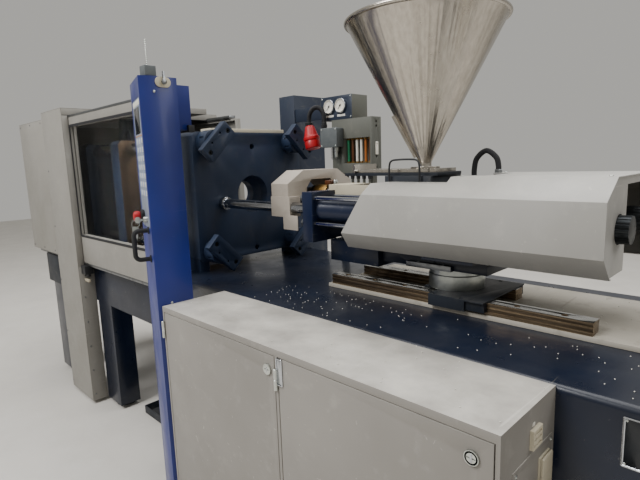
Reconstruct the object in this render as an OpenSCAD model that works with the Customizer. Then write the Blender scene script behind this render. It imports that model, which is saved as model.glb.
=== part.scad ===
// Horizontal injection moulding machine with a double toggle clamp and a sliding injection unit.
// X runs along the machine axis towards the hydraulic end, -Y is the operator's side and Z is up.
// The origin is the centre of the locating bore on the mould side of the fixed platen.

/* [Clamp] */
// Distance between tie bar centres
tie_pitch = 485; // [460:1:520]
// Diameter of a tie bar
tie_d = 65; // [55:1:75]
// Width of the platens
platen_w = 626; // [610:1:680]
// Height of the platens
platen_h = 580; // [570:1:600]
// Thickness of the fixed platen
fixed_t = 130; // [110:1:150]
// Thickness of the moving platen
moving_t = 120; // [100:1:140]
// Thickness of the platen that carries the toggle
rear_t = 120; // [100:1:140]
// Daylight between the platens with the mould open
daylight = 628; // [580:1:650]
// Diameter of the locating bore
locating_d = 125; // [100:1:125]
// Diameter of the nozzle hole from the injection side
nozzle_hole_d = 176; // [150:1:200]
// Diameter of a tapped mould fixing hole
mould_hole_d = 14; // [10:1:18]

/* [Toggle] */
// Length of a toggle link between its pivots
link_l = 300; // [280:1:310]
// Angle of the links from the machine axis with the mould open
fold_deg = 68; // [60:1:70]
// Height of the toggle pivots above and below the machine axis
pivot_z = 110; // [100:1:118]
// Diameter of the main toggle pins
pin_d = 48; // [36:1:52]
// Diameter of the small pins that the crosshead drives
small_pin_d = 28; // [20:1:32]
// Diameter of the clamp cylinder's rod
clamp_rod_d = 60; // [45:1:64]

/* [Guards] */
// How far the clamp covers stand out beyond the bed on each side
cover_step = 75; // [70:1:95]
// Height of the clamp covers' top above the machine axis
cover_top = 480; // [475:1:500]
// Sheet thickness of the covers
sheet_t = 3; // [2:0.5:4]
// Thickness of a sliding gate
gate_t = 35; // [25:1:36]
// Length of the operator's gate
gate_l = 1080; // [1000:1:1085]

/* [Base] */
// Height of the machine axis above the floor
axis_h = 1250; // [1200:1:1300]
// Drop from the machine axis to the top of the base
deck_drop = 335; // [330:1:345]
// Width of the bed
bed_w = 850; // [840:1:852]
// Distance from the mould face to the hydraulic end of the bed
bed_end = 2400; // [2300:10:2600]
// Distance from the mould face to the toggle end of the base
clamp_end = 1704; // [1700:1:1760]

/* [Controls] */
// Height of the control column's top above the machine axis
column_top = 442; // [430:1:460]
// Depth of the control column
column_d = 95; // [80:1:95]
// Angle that the operator's panel is turned by
panel_deg = 18; // [10:1:20]
// Width of the operator's panel
panel_w = 220; // [200:1:230]
// Length of the electrical cabinet
cabinet_l = 1222; // [1200:1:1260]
// Depth of the electrical cabinet
cabinet_d = 258; // [240:1:270]

/* [Injection unit] */
// Diameter of the screw
screw_d = 35; // [30:1:40]
// Outer diameter of the barrel
barrel_d = 84; // [76:1:88]
// Travel of the injection unit
unit_travel = 375; // [300:1:385]
// Injection stroke of the screw
screw_travel = 150; // [100:1:150]
// Width of the injection cover
hood_w = 500; // [490:1:520]
// Distance of each pull-in rod from the axis
rod_y = 170; // [166:1:176]
// Diameter of a pull-in rod
rod_d = 42; // [36:1:44]
// Diameter of the swivel drum
drum_d = 182; // [160:1:190]

/* [Hopper] */
// Diameter of the hopper at its rim
hopper_d = 520; // [450:5:540]
// Height of the hopper's cone
hopper_h = 454; // [400:1:500]
// Diameter of the hopper's neck
neck_d = 42; // [36:1:60]

/* [Hidden] */
$fn = 48;
run_gap = 0.05; // radial running clearance of pins and shafts
slide_gap = 0.3; // clearance between flat sliding faces
floor_z = -axis_h;
deck_z = -deck_drop;
sides = [-1, 1];

// Toggle: both pivots of a link pair lie on one line, so the pair folds as an isosceles triangle.
lug_reach_front = 55;
lug_reach_rear = 65;
moving_face_x = -daylight;
moving_back_x = moving_face_x - moving_t;
front_pivot_x = moving_back_x - lug_reach_front;
rear_pivot_x = front_pivot_x - 2 * link_l * cos(fold_deg);
rear_face_x = rear_pivot_x - lug_reach_rear;
rear_back_x = rear_face_x - rear_t;
cross_r = link_l / 2;
elbow_x = rear_pivot_x + link_l * cos(fold_deg);
elbow_z = pivot_z + link_l * sin(fold_deg);
attach_x = rear_pivot_x + cross_r * cos(fold_deg);
attach_z = pivot_z + cross_r * sin(fold_deg);
crosshead_x = rear_pivot_x + 2 * cross_r * cos(fold_deg);
eye_d = pin_d + 40;
small_eye_d = small_pin_d + 32;
cross_y = [60, 80];
inner_plate_y = [86, 108];
centre_plate_y = [109, 135];
outer_plate_y = [136, 158];
pin_end_y = 160;

column_x = 474;
cabinet_x = column_x;
cabinet_y = -bed_w / 2 - cabinet_d;
cabinet_end = cabinet_x + cabinet_l;
gate_y = -bed_w / 2 - 20;
column_back_y = gate_y - 115;
cover_y = bed_w / 2 + cover_step;
gate_right = 110;
gate_left = gate_right - gate_l;
gate_z = [-385, 428];
rear_gate_right = -570;
rear_gate_l = 920;
rail_top_z = deck_z + 50;
rail_y = 95;
rail_w = 50;
rod_z = -31;
flange_x = [726, 776];
tube_end = flange_x[1] + unit_travel + 15;
hood_x = [912, 1726];
feed_x = [1000, 1205];
feed_y = 95;
hopper_x = 1100;
plate_z = 88;
neck_z = 131;
drum_x = 1223;
pad_top = deck_z + 14;

// Solid box from its low and high corner on each axis
module box(x, y, z) {
    translate([x[0], y[0], z[0]])
        cube([x[1] - x[0], y[1] - y[0], z[1] - z[0]]);
}

// Outline in Y and Z drawn out along X
module along_x(x0, l) {
    translate([x0, 0, 0])
        rotate([90, 0, 90])
        linear_extrude(l)
        children();
}

// Outline in X and Z drawn out along Y
module along_y(y0, l) {
    translate([0, y0 + l, 0])
        rotate([90, 0, 0])
        linear_extrude(l)
        children();
}

// Outline moved inwards by t, for points that run counter-clockwise
function inset_corner(a, p, b, t) =
    let (u = (p - a) / norm(p - a), v = (b - p) / norm(b - p))
    p + t / (1 + u * v) * [-u[1] - v[1], u[0] + v[0]];
function inset(pts, t) =
    let (n = len(pts))
    [for (i = [0 : n - 1]) inset_corner(pts[(i + n - 1) % n], pts[i], pts[(i + 1) % n], t)];

// Round bars along each axis
module bar_x(x0, x1, y, z, r) {
    translate([x0, y, z])
        rotate([0, 90, 0])
        cylinder(h = x1 - x0, r = r);
}

module bar_y(y0, y1, x, z, r) {
    translate([x, y0, z])
        rotate([-90, 0, 0])
        cylinder(h = y1 - y0, r = r);
}

module bar_z(z0, z1, x, y, r) {
    translate([x, y, z0])
        cylinder(h = z1 - z0, r = r);
}

// Rectangle with true round corners, centred
module rounded(w, h, r) {
    square([w - 2 * r, h], center = true);
    square([w, h - 2 * r], center = true);
    for (sx = sides, sy = sides)
        translate([sx * (w / 2 - r), sy * (h / 2 - r)])
            circle(r);
}

// The same span on both sides of the machine's middle plane
module both_sides() {
    children();
    mirror([0, 1, 0])
        children();
}

// Bodies at the four tie bars
module at_tie_bars() {
    for (sy = sides, sz = sides)
        translate([0, sy * tie_pitch / 2, sz * tie_pitch / 2])
            children();
}

// Platen outline with cut corners
module platen_outline() {
    cut = 18;
    w = platen_w / 2;
    h = platen_h / 2;
    polygon([[-w + cut, -h], [w - cut, -h], [w, -h + cut], [w, h - cut],
        [w - cut, h], [-w + cut, h], [-w, h - cut], [-w, -h + cut]]);
}

// Tapped holes for the mould clamps, in rows at both sides of the locating bore
mould_rows_y = [70, 175];
mould_rows_z = [70, 140];
mould_hole_depth = 40;
module mould_holes(x0) {
    for (y = mould_rows_y, z = mould_rows_z, sy = sides, sz = sides)
        bar_x(x0, x0 + mould_hole_depth, sy * y, sz * z, mould_hole_d / 2);
}

// Feet that stand a platen on the base
module platen_feet(x, z_low) {
    foot_y = [265, platen_w / 2 - 2];
    both_sides()
        box([x[0] + 8, x[1] - 8], foot_y, [z_low, -platen_h / 2 + 20]);
}

module fixed_platen() {
    shoulder = 50;
    eye_r = 13;
    pocket = 28;
    color("#1d2838")
        difference() {
            union() {
                along_x(0, fixed_t)
                    platen_outline();
                platen_feet([0, fixed_t], deck_z);
            }
            bar_x(-1, shoulder, 0, 0, locating_d / 2);
            translate([shoulder - 0.01, 0, 0])
                rotate([0, 90, 0])
                cylinder(h = 30, r1 = locating_d / 2, r2 = nozzle_hole_d / 2);
            bar_x(shoulder + 29.9, fixed_t + 1, 0, 0, nozzle_hole_d / 2);
            mould_holes(-1);
            at_tie_bars()
                bar_x(-1, fixed_t + 1, 0, 0, tie_d / 2);
            for (s = sides)
                bar_x(60, fixed_t + 1, s * rod_y, rod_z, rod_d / 2);
            for (z = [225, -262])
                bar_x(fixed_t - pocket, fixed_t + 1, 7, z, eye_r);
            bar_z(platen_h / 2 - 40, platen_h / 2 + 1, fixed_t / 2, 0, eye_r);
        }
}

bush_r = tie_d / 2 + 9;
module moving_platen() {
    ejector_r = 18;
    color("#5b4a3c") {
        difference() {
            union() {
                along_x(moving_back_x + 14, moving_t - 14)
                    platen_outline();
                along_x(moving_back_x, 15)
                    square([platen_w - 120, platen_h - 120], center = true);
                at_tie_bars()
                    bar_x(moving_back_x - 20, moving_back_x + 20, 0, 0, bush_r + 6);
                both_sides()
                    box([moving_back_x + 8, moving_face_x - 8], [265, platen_w / 2 - 2],
                        [deck_z + slide_gap, -platen_h / 2 + 20]);
                for (y = [inner_plate_y, outer_plate_y], sz = sides)
                    both_sides()
                        pivot_lug(front_pivot_x, sz * pivot_z, moving_back_x + 1,
                            [y[0] - (y == inner_plate_y ? 2 : 0), y[1]]);
                for (sz = sides)
                    both_sides()
                        bar_y(inner_plate_y[0] - 2, pin_end_y, front_pivot_x, sz * pivot_z, pin_d / 2);
                bar_x(moving_back_x - 95, moving_back_x + 1, 0, 0, 45);
            }
            bar_x(moving_face_x - 40, moving_face_x + 1, 0, 0, locating_d / 2);
            bar_x(moving_face_x - 49, moving_face_x - 39, 0, 0, 25);
            bar_x(moving_back_x - 80, moving_face_x - 45, 0, 0, ejector_r + run_gap);
            mould_holes(moving_face_x - mould_hole_depth);
            at_tie_bars()
                bar_x(moving_back_x - 21, moving_face_x + 1, 0, 0, tie_d / 2 + run_gap);
        }
    }
}

// Ear that holds one pivot, standing off a platen's face
module pivot_lug(x, z, root_x, y) {
    along_y(y[0], y[1] - y[0]) {
        translate([x, z])
            circle(eye_d / 2);
        translate([min(x, root_x), z - eye_d / 2])
            square([abs(root_x - x), eye_d]);
    }
}

module ejector_rod() {
    color("#c9ccd0") {
        bar_x(moving_back_x - 60, moving_face_x - 44, 0, 0, 18);
        bar_x(moving_face_x - 49 + slide_gap, moving_face_x - 40.5, 0, 0, 24);
    }
}

tie_end_x = fixed_t + 78;
nut_x = fixed_t + 70;
module tie_bars() {
    color("#8d9196")
        at_tie_bars()
            bar_x(rear_back_x - 90, tie_end_x, 0, 0, tie_d / 2);
}

// Round nuts of the fixed platen, each held by a square-ended locking plate with socket screws
module tie_bar_nuts() {
    lock_l = 172;
    lock_w = 76;
    lock_t = 34;
    color("#222b38")
        for (sy = sides, sz = sides)
            translate([0, sy * tie_pitch / 2, sz * tie_pitch / 2]) {
                difference() {
                    bar_x(fixed_t, nut_x, 0, 0, tie_d / 2 + 20);
                    bar_x(fixed_t - 1, nut_x + 1, 0, 0, tie_d / 2 + 0.1);
                    for (a = [22.5 : 45 : 337.5])
                        rotate([a, 0, 0])
                            box([fixed_t + 24, nut_x - 14], [-5, 5], [tie_d / 2 + 14, tie_d]);
                }
                rotate([45 * sy * sz, 0, 0])
                    difference() {
                        along_x(nut_x, lock_t)
                            rounded(lock_w, lock_l, 3);
                        bar_x(nut_x - 1, tie_end_x, 0, 0, tie_d / 2 + 0.1);
                        for (z = [-66, 66])
                            bar_x(nut_x + lock_t - 16, nut_x + lock_t + 1, 0, z, 11);
                        for (z = [-30, 30])
                            bar_x(nut_x + lock_t - 10, nut_x + lock_t + 1, -22, z, 5);
                    }
            }
}

// Casting at the toggle end with a window, ribs and the ears of the rear pivots
module rear_platen() {
    rod_hole_r = clamp_rod_d / 2 + 12;
    color("#1d2838") {
        difference() {
            union() {
                along_x(rear_back_x, rear_t)
                    platen_outline();
                platen_feet([rear_back_x, rear_face_x], deck_z);
                for (sz = sides)
                    both_sides() {
                        pivot_lug(rear_pivot_x, sz * pivot_z, rear_face_x - 1, centre_plate_y);
                        bar_y(inner_plate_y[0] - 1, pin_end_y, rear_pivot_x, sz * pivot_z, pin_d / 2);
                    }
            }
            bar_x(rear_back_x - 1, rear_face_x + 1, 0, 0, rod_hole_r);
            at_tie_bars()
                bar_x(rear_back_x - 1, rear_face_x + 1, 0, 0, tie_d / 2);
            for (sy = sides)
                along_x(rear_back_x - 1, 60)
                    translate([sy * 225, 0])
                    rounded(90, 250, 20);
        }
        adjusting_nuts();
    }
}

// Toothed nuts that set the mould height, one on each tie bar
module adjusting_nuts() {
    nut_l = 50;
    teeth = 20;
    tip_r = tie_d / 2 + 26;
    at_tie_bars()
        difference() {
            bar_x(rear_back_x - nut_l, rear_back_x, 0, 0, tip_r);
            bar_x(rear_back_x - nut_l - 1, rear_back_x + 1, 0, 0, tie_d / 2);
            for (i = [0 : teeth - 1])
                rotate([i * 360 / teeth, 0, 0])
                    bar_x(rear_back_x - nut_l + 10, rear_back_x - 20, 0, tip_r + 2, 5.5);
        }
}

clamp_tube_x = [rear_back_x - 400, rear_back_x - 30];
clamp_bore_r = 62;
module clamp_cylinder() {
    color("#22304a")
        difference() {
            union() {
                bar_x(rear_back_x - 30, rear_back_x, 0, 0, 105);
                bar_x(clamp_tube_x[0], clamp_tube_x[1], 0, 0, clamp_bore_r + 14);
                bar_x(clamp_tube_x[0] - 28, clamp_tube_x[0], 0, 0, 92);
                for (x = [clamp_tube_x[0] + 24, clamp_tube_x[1] - 24])
                    bar_z(clamp_bore_r, clamp_bore_r + 34, x, 0, 18);
                for (a = [0 : 45 : 315])
                    rotate([a + 22.5, 0, 0]) {
                        bar_x(rear_back_x - 42, rear_back_x - 30, 0, 92, 8);
                        bar_x(clamp_tube_x[0] - 38, clamp_tube_x[0] - 28, 0, 80, 6);
                    }
            }
            bar_x(clamp_tube_x[0] - 4, clamp_tube_x[1], 0, 0, clamp_bore_r);
            bar_x(clamp_tube_x[1] - 1, rear_back_x + 1, 0, 0, clamp_rod_d / 2 + run_gap);
        }
}

// Crosshead with its drive pins, the rod behind it and the piston in the clamp cylinder
module crosshead() {
    half_l = 38;
    half_h = pivot_z + small_eye_d / 2;
    piston_x = clamp_tube_x[0] + 30;
    color("#7d8288") {
        difference() {
            box([crosshead_x - half_l, crosshead_x + half_l], [-54, 54], [-half_h, half_h]);
            for (sy = sides)
                translate([crosshead_x, sy * 54, 0])
                    rotate([90, 0, 0])
                    linear_extrude(24, center = true)
                    rounded(44, 2 * (pivot_z - small_eye_d), 8);
        }
        for (sz = sides)
            bar_y(-83, 83, crosshead_x, sz * pivot_z, small_pin_d / 2);
        bar_x(piston_x, crosshead_x, 0, 0, clamp_rod_d / 2);
        bar_x(crosshead_x - half_l - 26, crosshead_x - half_l, 0, 0, clamp_rod_d / 2 + 9);
        bar_x(piston_x, piston_x + 30, 0, 0, clamp_bore_r - run_gap);
    }
}

// Bar with a round eye at each end, in a plane of constant Y, from one pivot to the other
module link_bar(y, waist, from_x, from_z, to_x, to_z, r0, r1) {
    l = norm([to_x - from_x, to_z - from_z]);
    a = atan2(to_z - from_z, to_x - from_x);
    along_y(y[0], y[1] - y[0])
        translate([from_x, from_z])
        rotate(a) {
            circle(r0);
            translate([l, 0])
                circle(r1);
            translate([0, -waist / 2])
                square([l, waist]);
        }
}

// Forked rear link: two plates joined by a web, with the elbow pins and the pins of the cross links
module rear_link(s) {
    web = [0.37, 0.63];
    waist = 58;
    color("#3c4654")
        both_sides()
            difference() {
                union() {
                    for (y = [inner_plate_y, outer_plate_y])
                        link_bar(y, waist, rear_pivot_x, s * pivot_z, elbow_x, s * elbow_z,
                            eye_d / 2, eye_d / 2);
                    along_y(inner_plate_y[0], outer_plate_y[1] - inner_plate_y[0])
                        translate([rear_pivot_x, s * pivot_z])
                        rotate(s * fold_deg)
                        translate([web[0] * link_l, -waist / 2])
                        square([(web[1] - web[0]) * link_l, waist]);
                    bar_y(inner_plate_y[0] - 2, pin_end_y, elbow_x, s * elbow_z, pin_d / 2);
                    bar_y(cross_y[0] - 2, inner_plate_y[0] + 2, attach_x, s * attach_z,
                        small_pin_d / 2);
                }
                bar_y(inner_plate_y[0] - 5, pin_end_y + 5, rear_pivot_x, s * pivot_z,
                    pin_d / 2 + run_gap);
            }
}

module front_link(s) {
    color("#3c4654")
        both_sides()
            difference() {
                link_bar(centre_plate_y, 58, front_pivot_x, s * pivot_z, elbow_x, s * elbow_z,
                    eye_d / 2, eye_d / 2);
                bar_y(100, 140, front_pivot_x, s * pivot_z, pin_d / 2 + run_gap);
                bar_y(100, 140, elbow_x, s * elbow_z, pin_d / 2 + run_gap);
            }
}

module cross_link(s) {
    color("#8a8f96")
        both_sides()
            difference() {
                link_bar(cross_y, 38, attach_x, s * attach_z, crosshead_x, s * pivot_z,
                    small_eye_d / 2, small_eye_d / 2);
                bar_y(50, 90, attach_x, s * attach_z, small_pin_d / 2 + run_gap);
                bar_y(50, 90, crosshead_x, s * pivot_z, small_pin_d / 2 + run_gap);
            }
}

module rear_link_upper() { rear_link(1); }
module rear_link_lower() { rear_link(-1); }
module front_link_upper() { front_link(1); }
module front_link_lower() { front_link(-1); }
module cross_link_upper() { cross_link(1); }
module cross_link_lower() { cross_link(-1); }

// Welded frame under the clamp: side plates with top flanges, cross boxes and box legs
base_side_y = bed_w / 2 - 10;
base_low_z = -620;
module clamp_base() {
    flange_in = 250;
    flange_t = 12;
    plate_t = 12;
    leg_low = floor_z + 25;
    base_left = -clamp_end + sheet_t;
    base_right = -60;
    color("#1f2b40") {
        both_sides() {
            box([base_left, base_right], [base_side_y - plate_t, base_side_y], [base_low_z, deck_z]);
            box([base_left, base_right], [flange_in, base_side_y], [deck_z - flange_t, deck_z]);
            box([base_left, base_right], [base_side_y - 70, base_side_y],
                [base_low_z, base_low_z + 10]);
        }
        for (x = [[base_left, base_left + 76], [rear_back_x, rear_face_x]])
            box(x, [-base_side_y + 1, base_side_y - 1], [base_low_z, deck_z - 1]);
        for (x = [[-1660, -1480], [-870, -690]])
            both_sides()
                box(x, [base_side_y - 115, base_side_y], [leg_low, base_low_z + 1]);
    }
}

// Bed of the injection side, with a rolled top edge, access panels and a louvred end
module injection_bed() {
    low = floor_z + 35;
    roll = 16;
    h = deck_z - low;
    color("#1f2b40")
        difference() {
            union() {
                along_x(-60, bed_end + 60)
                    translate([0, low + h / 2])
                    rounded(bed_w, h, roll);
                box([-60, bed_end], [-bed_w / 2 + 30, bed_w / 2 - 30], [low - 20, low + 1]);
            }
            for (i = [0 : 3])
                box([160 + i * 560, 660 + i * 560], [bed_w / 2 - 3, bed_w / 2 + 1],
                    [low + 90, deck_z - 120]);
            for (i = [0 : 8])
                box([bed_end - 12, bed_end + 1], [-220, 220],
                    [low + 260 + i * 34, low + 276 + i * 34]);
            box([bed_end - 260, bed_end - 60], [-bed_w / 2 - 1, -bed_w / 2 + 3],
                [low + 120, low + 620]);
        }
    color("#c9c5bb")
        box([rail_x[0] - 15, bed_end - 60], [-126, 300], [deck_z + joint_gap, pad_top]);
}

feet_x = [-1570, -780, 60, 820, 1620, 2280];
module levelling_feet() {
    color("#303236")
        for (x = feet_x, sy = sides) {
            under_clamp = x < -60;
            y = sy * (under_clamp ? 345 : 330);
            top = under_clamp ? floor_z + 25 : floor_z + 15;
            bar_z(floor_z, floor_z + 14, x, y, 55);
            bar_z(floor_z + 14, top, x, y, 16);
        }
}

module floor_tray() {
    wall = 4;
    x = [-560, -60];
    y = [-335, 250];
    z = [floor_z, floor_z + 45];
    color("#20252d")
        difference() {
            box(x, y, z);
            box([x[0] + wall, x[1] - wall], [y[0] + wall, y[1] - wall], [z[0] + wall, z[1] + 1]);
        }
}

// Sheet covers round the toggle: a low box with a tall front tower that runs to the floor. The sheets
// are screwed on one by one, with a hair's breadth between them.
tower_x = [-1225, -890];
low_top = 443;
joint_gap = 0.2;
module clamp_covers() {
    color("#b5b1aa") {
        both_sides()
            side_sheets();
        end_sheet();
        box([-clamp_end, tower_x[0] - joint_gap], [-cover_y, cover_y], [low_top - sheet_t, low_top]);
        box(tower_x, [-cover_y, cover_y], [cover_top - sheet_t, cover_top]);
        riser_y = cover_y - sheet_t - joint_gap;
        box([tower_x[0], tower_x[0] + sheet_t], [-riser_y, riser_y],
            [low_top - sheet_t, cover_top - sheet_t - joint_gap]);
        box([tower_x[1] - sheet_t, tower_x[1]], [-riser_y, riser_y],
            [low_top - sheet_t, cover_top - sheet_t - joint_gap]);
        roof_sheets();
    }
}

module side_sheets() {
    low_z = -370;
    lip = 35;
    foot_z = floor_z + 20;
    skin_y = [cover_y - sheet_t, cover_y];
    inner_y = [base_side_y + joint_gap, cover_y - sheet_t - joint_gap];
    top_z = cover_top - sheet_t - joint_gap;
    box([-clamp_end, tower_x[0] - joint_gap], skin_y, [low_z, low_top - sheet_t - joint_gap]);
    box(tower_x, skin_y, [foot_z, top_z]);
    box([tower_x[1] - sheet_t, tower_x[1]], [cover_y - lip, inner_y[1]],
        [low_z - 40, low_top - sheet_t - joint_gap]);
    box([tower_x[1] - sheet_t, tower_x[1]], inner_y, [foot_z, low_z - 40 - joint_gap]);
    box([tower_x[0], tower_x[0] + sheet_t], inner_y, [foot_z, low_z - 32]);
    box([tower_x[0] + sheet_t + joint_gap, tower_x[1] - sheet_t - joint_gap], inner_y,
        [foot_z, foot_z + sheet_t]);
    box([-1560, tower_x[0] - joint_gap], [base_side_y, cover_y - 30], [low_z - 215, gate_z[0] - 14.5]);
}

module end_sheet() {
    side_y = cover_y - sheet_t - joint_gap;
    difference() {
        box([-clamp_end, -clamp_end + sheet_t - joint_gap], [-side_y, side_y],
            [-370, low_top - sheet_t - joint_gap]);
        for (i = [0 : 9], s = sides)
            translate([-clamp_end, s * 180, -180 + i * 34])
                box([-1, sheet_t + 1], [-110, 110], [0, 14]);
    }
}

// Tray-shaped roof over the toggle, screwed to the tower, and the loose strip on the fixed platen
module roof_sheets() {
    roof_y = 262;
    roof_x = [tower_x[1] + joint_gap, -640];
    roof_z = [452, 484];
    difference() {
        box(roof_x, [-roof_y, roof_y], roof_z);
        box(roof_x + [sheet_t, -sheet_t], [-roof_y + sheet_t, roof_y - sheet_t],
            roof_z - [1, sheet_t]);
    }
    box([30, 112], [-204, 228], [platen_h / 2 + joint_gap, platen_h / 2 + 18]);
}

// Grooved top channel and flat bottom rail of one gate, with its packing on the base
rail_channel = [bed_w / 2 - 7, bed_w / 2 + 39];
module gate_rail(right, channel_right) {
    left = -clamp_end + sheet_t;
    difference() {
        box([left, channel_right], rail_channel,
            [gate_z[1] + slide_gap, low_top - sheet_t - joint_gap]);
        box([left - 1, channel_right + 1], rail_channel + [4, -4], [gate_z[1], gate_z[1] + 4]);
    }
    box([left, right], [bed_w / 2, rail_channel[1]], [gate_z[0] - 14, gate_z[0] - slide_gap]);
    box([left, -60], [base_side_y, bed_w / 2], [gate_z[0] - 14, gate_z[0] - slide_gap]);
}

module gate_rails() {
    color("#9a9994") {
        mirror([0, 1, 0])
            gate_rail(118, 118);
        gate_rail(post_x[0] - 1, rear_gate_right - 55);
        box([tower_x[1] + joint_gap, rear_gate_right - 55], rail_channel,
            [low_top - sheet_t - 1, low_top + 8]);
    }
}

module limit_switch() {
    color("#17181a") {
        box([-884, -826], [gate_y - 41, gate_y + 5], [gate_z[0] - 62, gate_z[0] - 14]);
        for (x = [-872, -842])
            bar_z(gate_z[0] - 78, gate_z[0] - 62, x, gate_y - 19, 11);
        box([400, 412], [gate_y - 45, gate_y - 21], [266, 292]);
    }
}

// Operator's sliding gate: folded frame with a deep lower panel round the window opening
window_x = [gate_left + 85, gate_right - 85];
window_z = [-225, 378];
pane_lip = 12;
module gate_frame(y0, x, window) {
    difference() {
        box(x, [y0, y0 + gate_t], gate_z);
        box(window[0], [y0 - 1, y0 + gate_t + 1], window[1]);
        box([window[0][0] - pane_lip, window[0][1] + pane_lip], [y0 + 14, y0 + 20],
            [window[1][0] - pane_lip, window[1][1] + pane_lip]);
    }
}

module front_gate() {
    y0 = gate_y - gate_t / 2;
    color("#a9a59d") {
        gate_frame(y0, [gate_left, gate_right], [window_x, window_z]);
        for (z = [40, -90])
            bar_y(y0 - 40, y0 + 1, gate_right - 42, z, 6);
        bar_z(-104, 54, gate_right - 42, y0 - 40, 8);
    }
}

module gate_window() {
    y0 = gate_y - gate_t / 2 + 14;
    color("#d8e2e6")
        box([window_x[0] - pane_lip, window_x[1] + pane_lip], [y0, y0 + 6],
            [window_z[0] - pane_lip, window_z[1] + pane_lip]);
}

// Rear gate with its row of slots, pushed back from the mould area
module rear_gate() {
    y0 = -gate_y - gate_t / 2;
    x = [rear_gate_right - rear_gate_l, rear_gate_right];
    color("#a9a59d")
        difference() {
            box(x, [y0, y0 + gate_t], gate_z);
            box([x[0] + 12, x[1] - 12], [y0 - 1, y0 + gate_t - 4], [gate_z[0] + 12, gate_z[1] - 12]);
            for (s = [0 : 5])
                box([x[0] + 160, x[1] - 160], [y0, y0 + gate_t + 1], [-60 + s * 50, -40 + s * 50]);
        }
}

// Plan of the control column; its operator's face is turned towards the mould area
front_y = column_back_y - column_d;
panel_a = [column_x - 16, front_y - 35];
panel_b = panel_a + panel_w * [-cos(panel_deg), sin(panel_deg)];
module column_plan() {
    polygon([[column_x, column_back_y], [column_x, front_y], panel_a, panel_b,
        [panel_b[0], column_back_y]]);
}

// Place on the operator's face: u from the outer edge towards the mould area, v outwards, w up
module on_panel(u, w) {
    translate([panel_a[0] - u * cos(panel_deg), panel_a[1] + u * sin(panel_deg), w])
        rotate([0, 0, -panel_deg])
        children();
}

panel_u = [22, panel_w - 22];
panel_z = [-66, 378];
panel_depth = 5;
module control_column() {
    foot = floor_z + 15;
    color("#2c3d8f")
        difference() {
            union() {
                translate([0, 0, foot])
                    linear_extrude(column_top - foot)
                    column_plan();
                box([300, 400], [column_back_y, gate_y - 25], [276, 432]);
            }
            on_panel(panel_u[1], 0)
                box([0, panel_u[1] - panel_u[0]], [-1, panel_depth], panel_z);
            on_panel(stop_at[0], stop_at[1])
                bar_y(-1, 15, 0, 0, 9 + run_gap);
        }
}

stop_at = [150, -30];
key_at = [84, -38];

display_u = [50, 170];
display_z = [262, 352];
handle_u = 60;
handle_z = [-170, -80];
module control_panel() {
    color("#c9ced6") {
        difference() {
            on_panel(panel_u[1], 0)
                box([0, panel_u[1] - panel_u[0]], [1.5, panel_depth], panel_z);
            on_panel(display_u[1], 0)
                box([0, display_u[1] - display_u[0]], [0, 3.5], display_z);
            on_panel(stop_at[0], stop_at[1])
                bar_y(-1, 15, 0, 0, 9 + run_gap);
            on_panel(key_at[0], key_at[1])
                bar_y(-1, 15, 0, 0, 11 + run_gap);
        }
        for (row = [0 : 6], col = [0 : 5])
            on_panel(42 + col * 27, 236 - row * 30)
                box([-9, 9], [0.4, 1.5], [-9, 9]);
    }
    color("#161719") {
        for (z = handle_z)
            on_panel(handle_u, z)
                bar_y(-52, 0, 0, 0, 6);
        on_panel(handle_u, 0)
            bar_z(handle_z[0] - 12, handle_z[1] + 12, 0, -52, 8);
    }
    color("#d9d2bd")
        translate([column_x, -612, 424])
        rotate([90, 0, 90])
        scale_ring();
    color("#6d7175")
        box([column_x - 44, column_x - 6], [-668, -628], [column_top, column_top + 34]);
    color("#6d7175")
        bar_z(column_top + 34, column_top + 120, column_x - 24, -650, 2.2);
}

// Oval escutcheon of two overlapping round plates, with the bore of its lever
module scale_ring() {
    linear_extrude(4)
        difference() {
            union() {
                square([22, 34], center = true);
                for (s = sides)
                    translate([s * 11, 0])
                        circle(17);
            }
            circle(5 + run_gap);
        }
}

module toggle_lever() {
    color("#8c8f92") {
        translate([column_x, -612, 424]) {
            bar_x(0.5, 14, 0, 0, 5);
            bar_x(8, 14, 0, 0, 9);
            box([8, 13], [-4, 4], [0, 34]);
        }
    }
}

module emergency_stop() {
    color("#c4202a")
        on_panel(stop_at[0], stop_at[1]) {
            bar_y(-14, 7, 0, 0, 9);
            bar_y(-34, -14, 0, 0, 18);
            bar_y(-38, -34, 0, 0, 15);
        }
}

module key_switch() {
    color("#b9bcc0")
        on_panel(key_at[0], key_at[1]) {
            bar_y(-12, 4.5, 0, 0, 11);
            box([-1.5, 1.5], [-42, -12], [-8, 8]);
            bar_y(-46, -43, 0, 0, 13);
            box([-1.5, 1.5], [-46, -40], [-4, 4]);
        }
}

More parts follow.
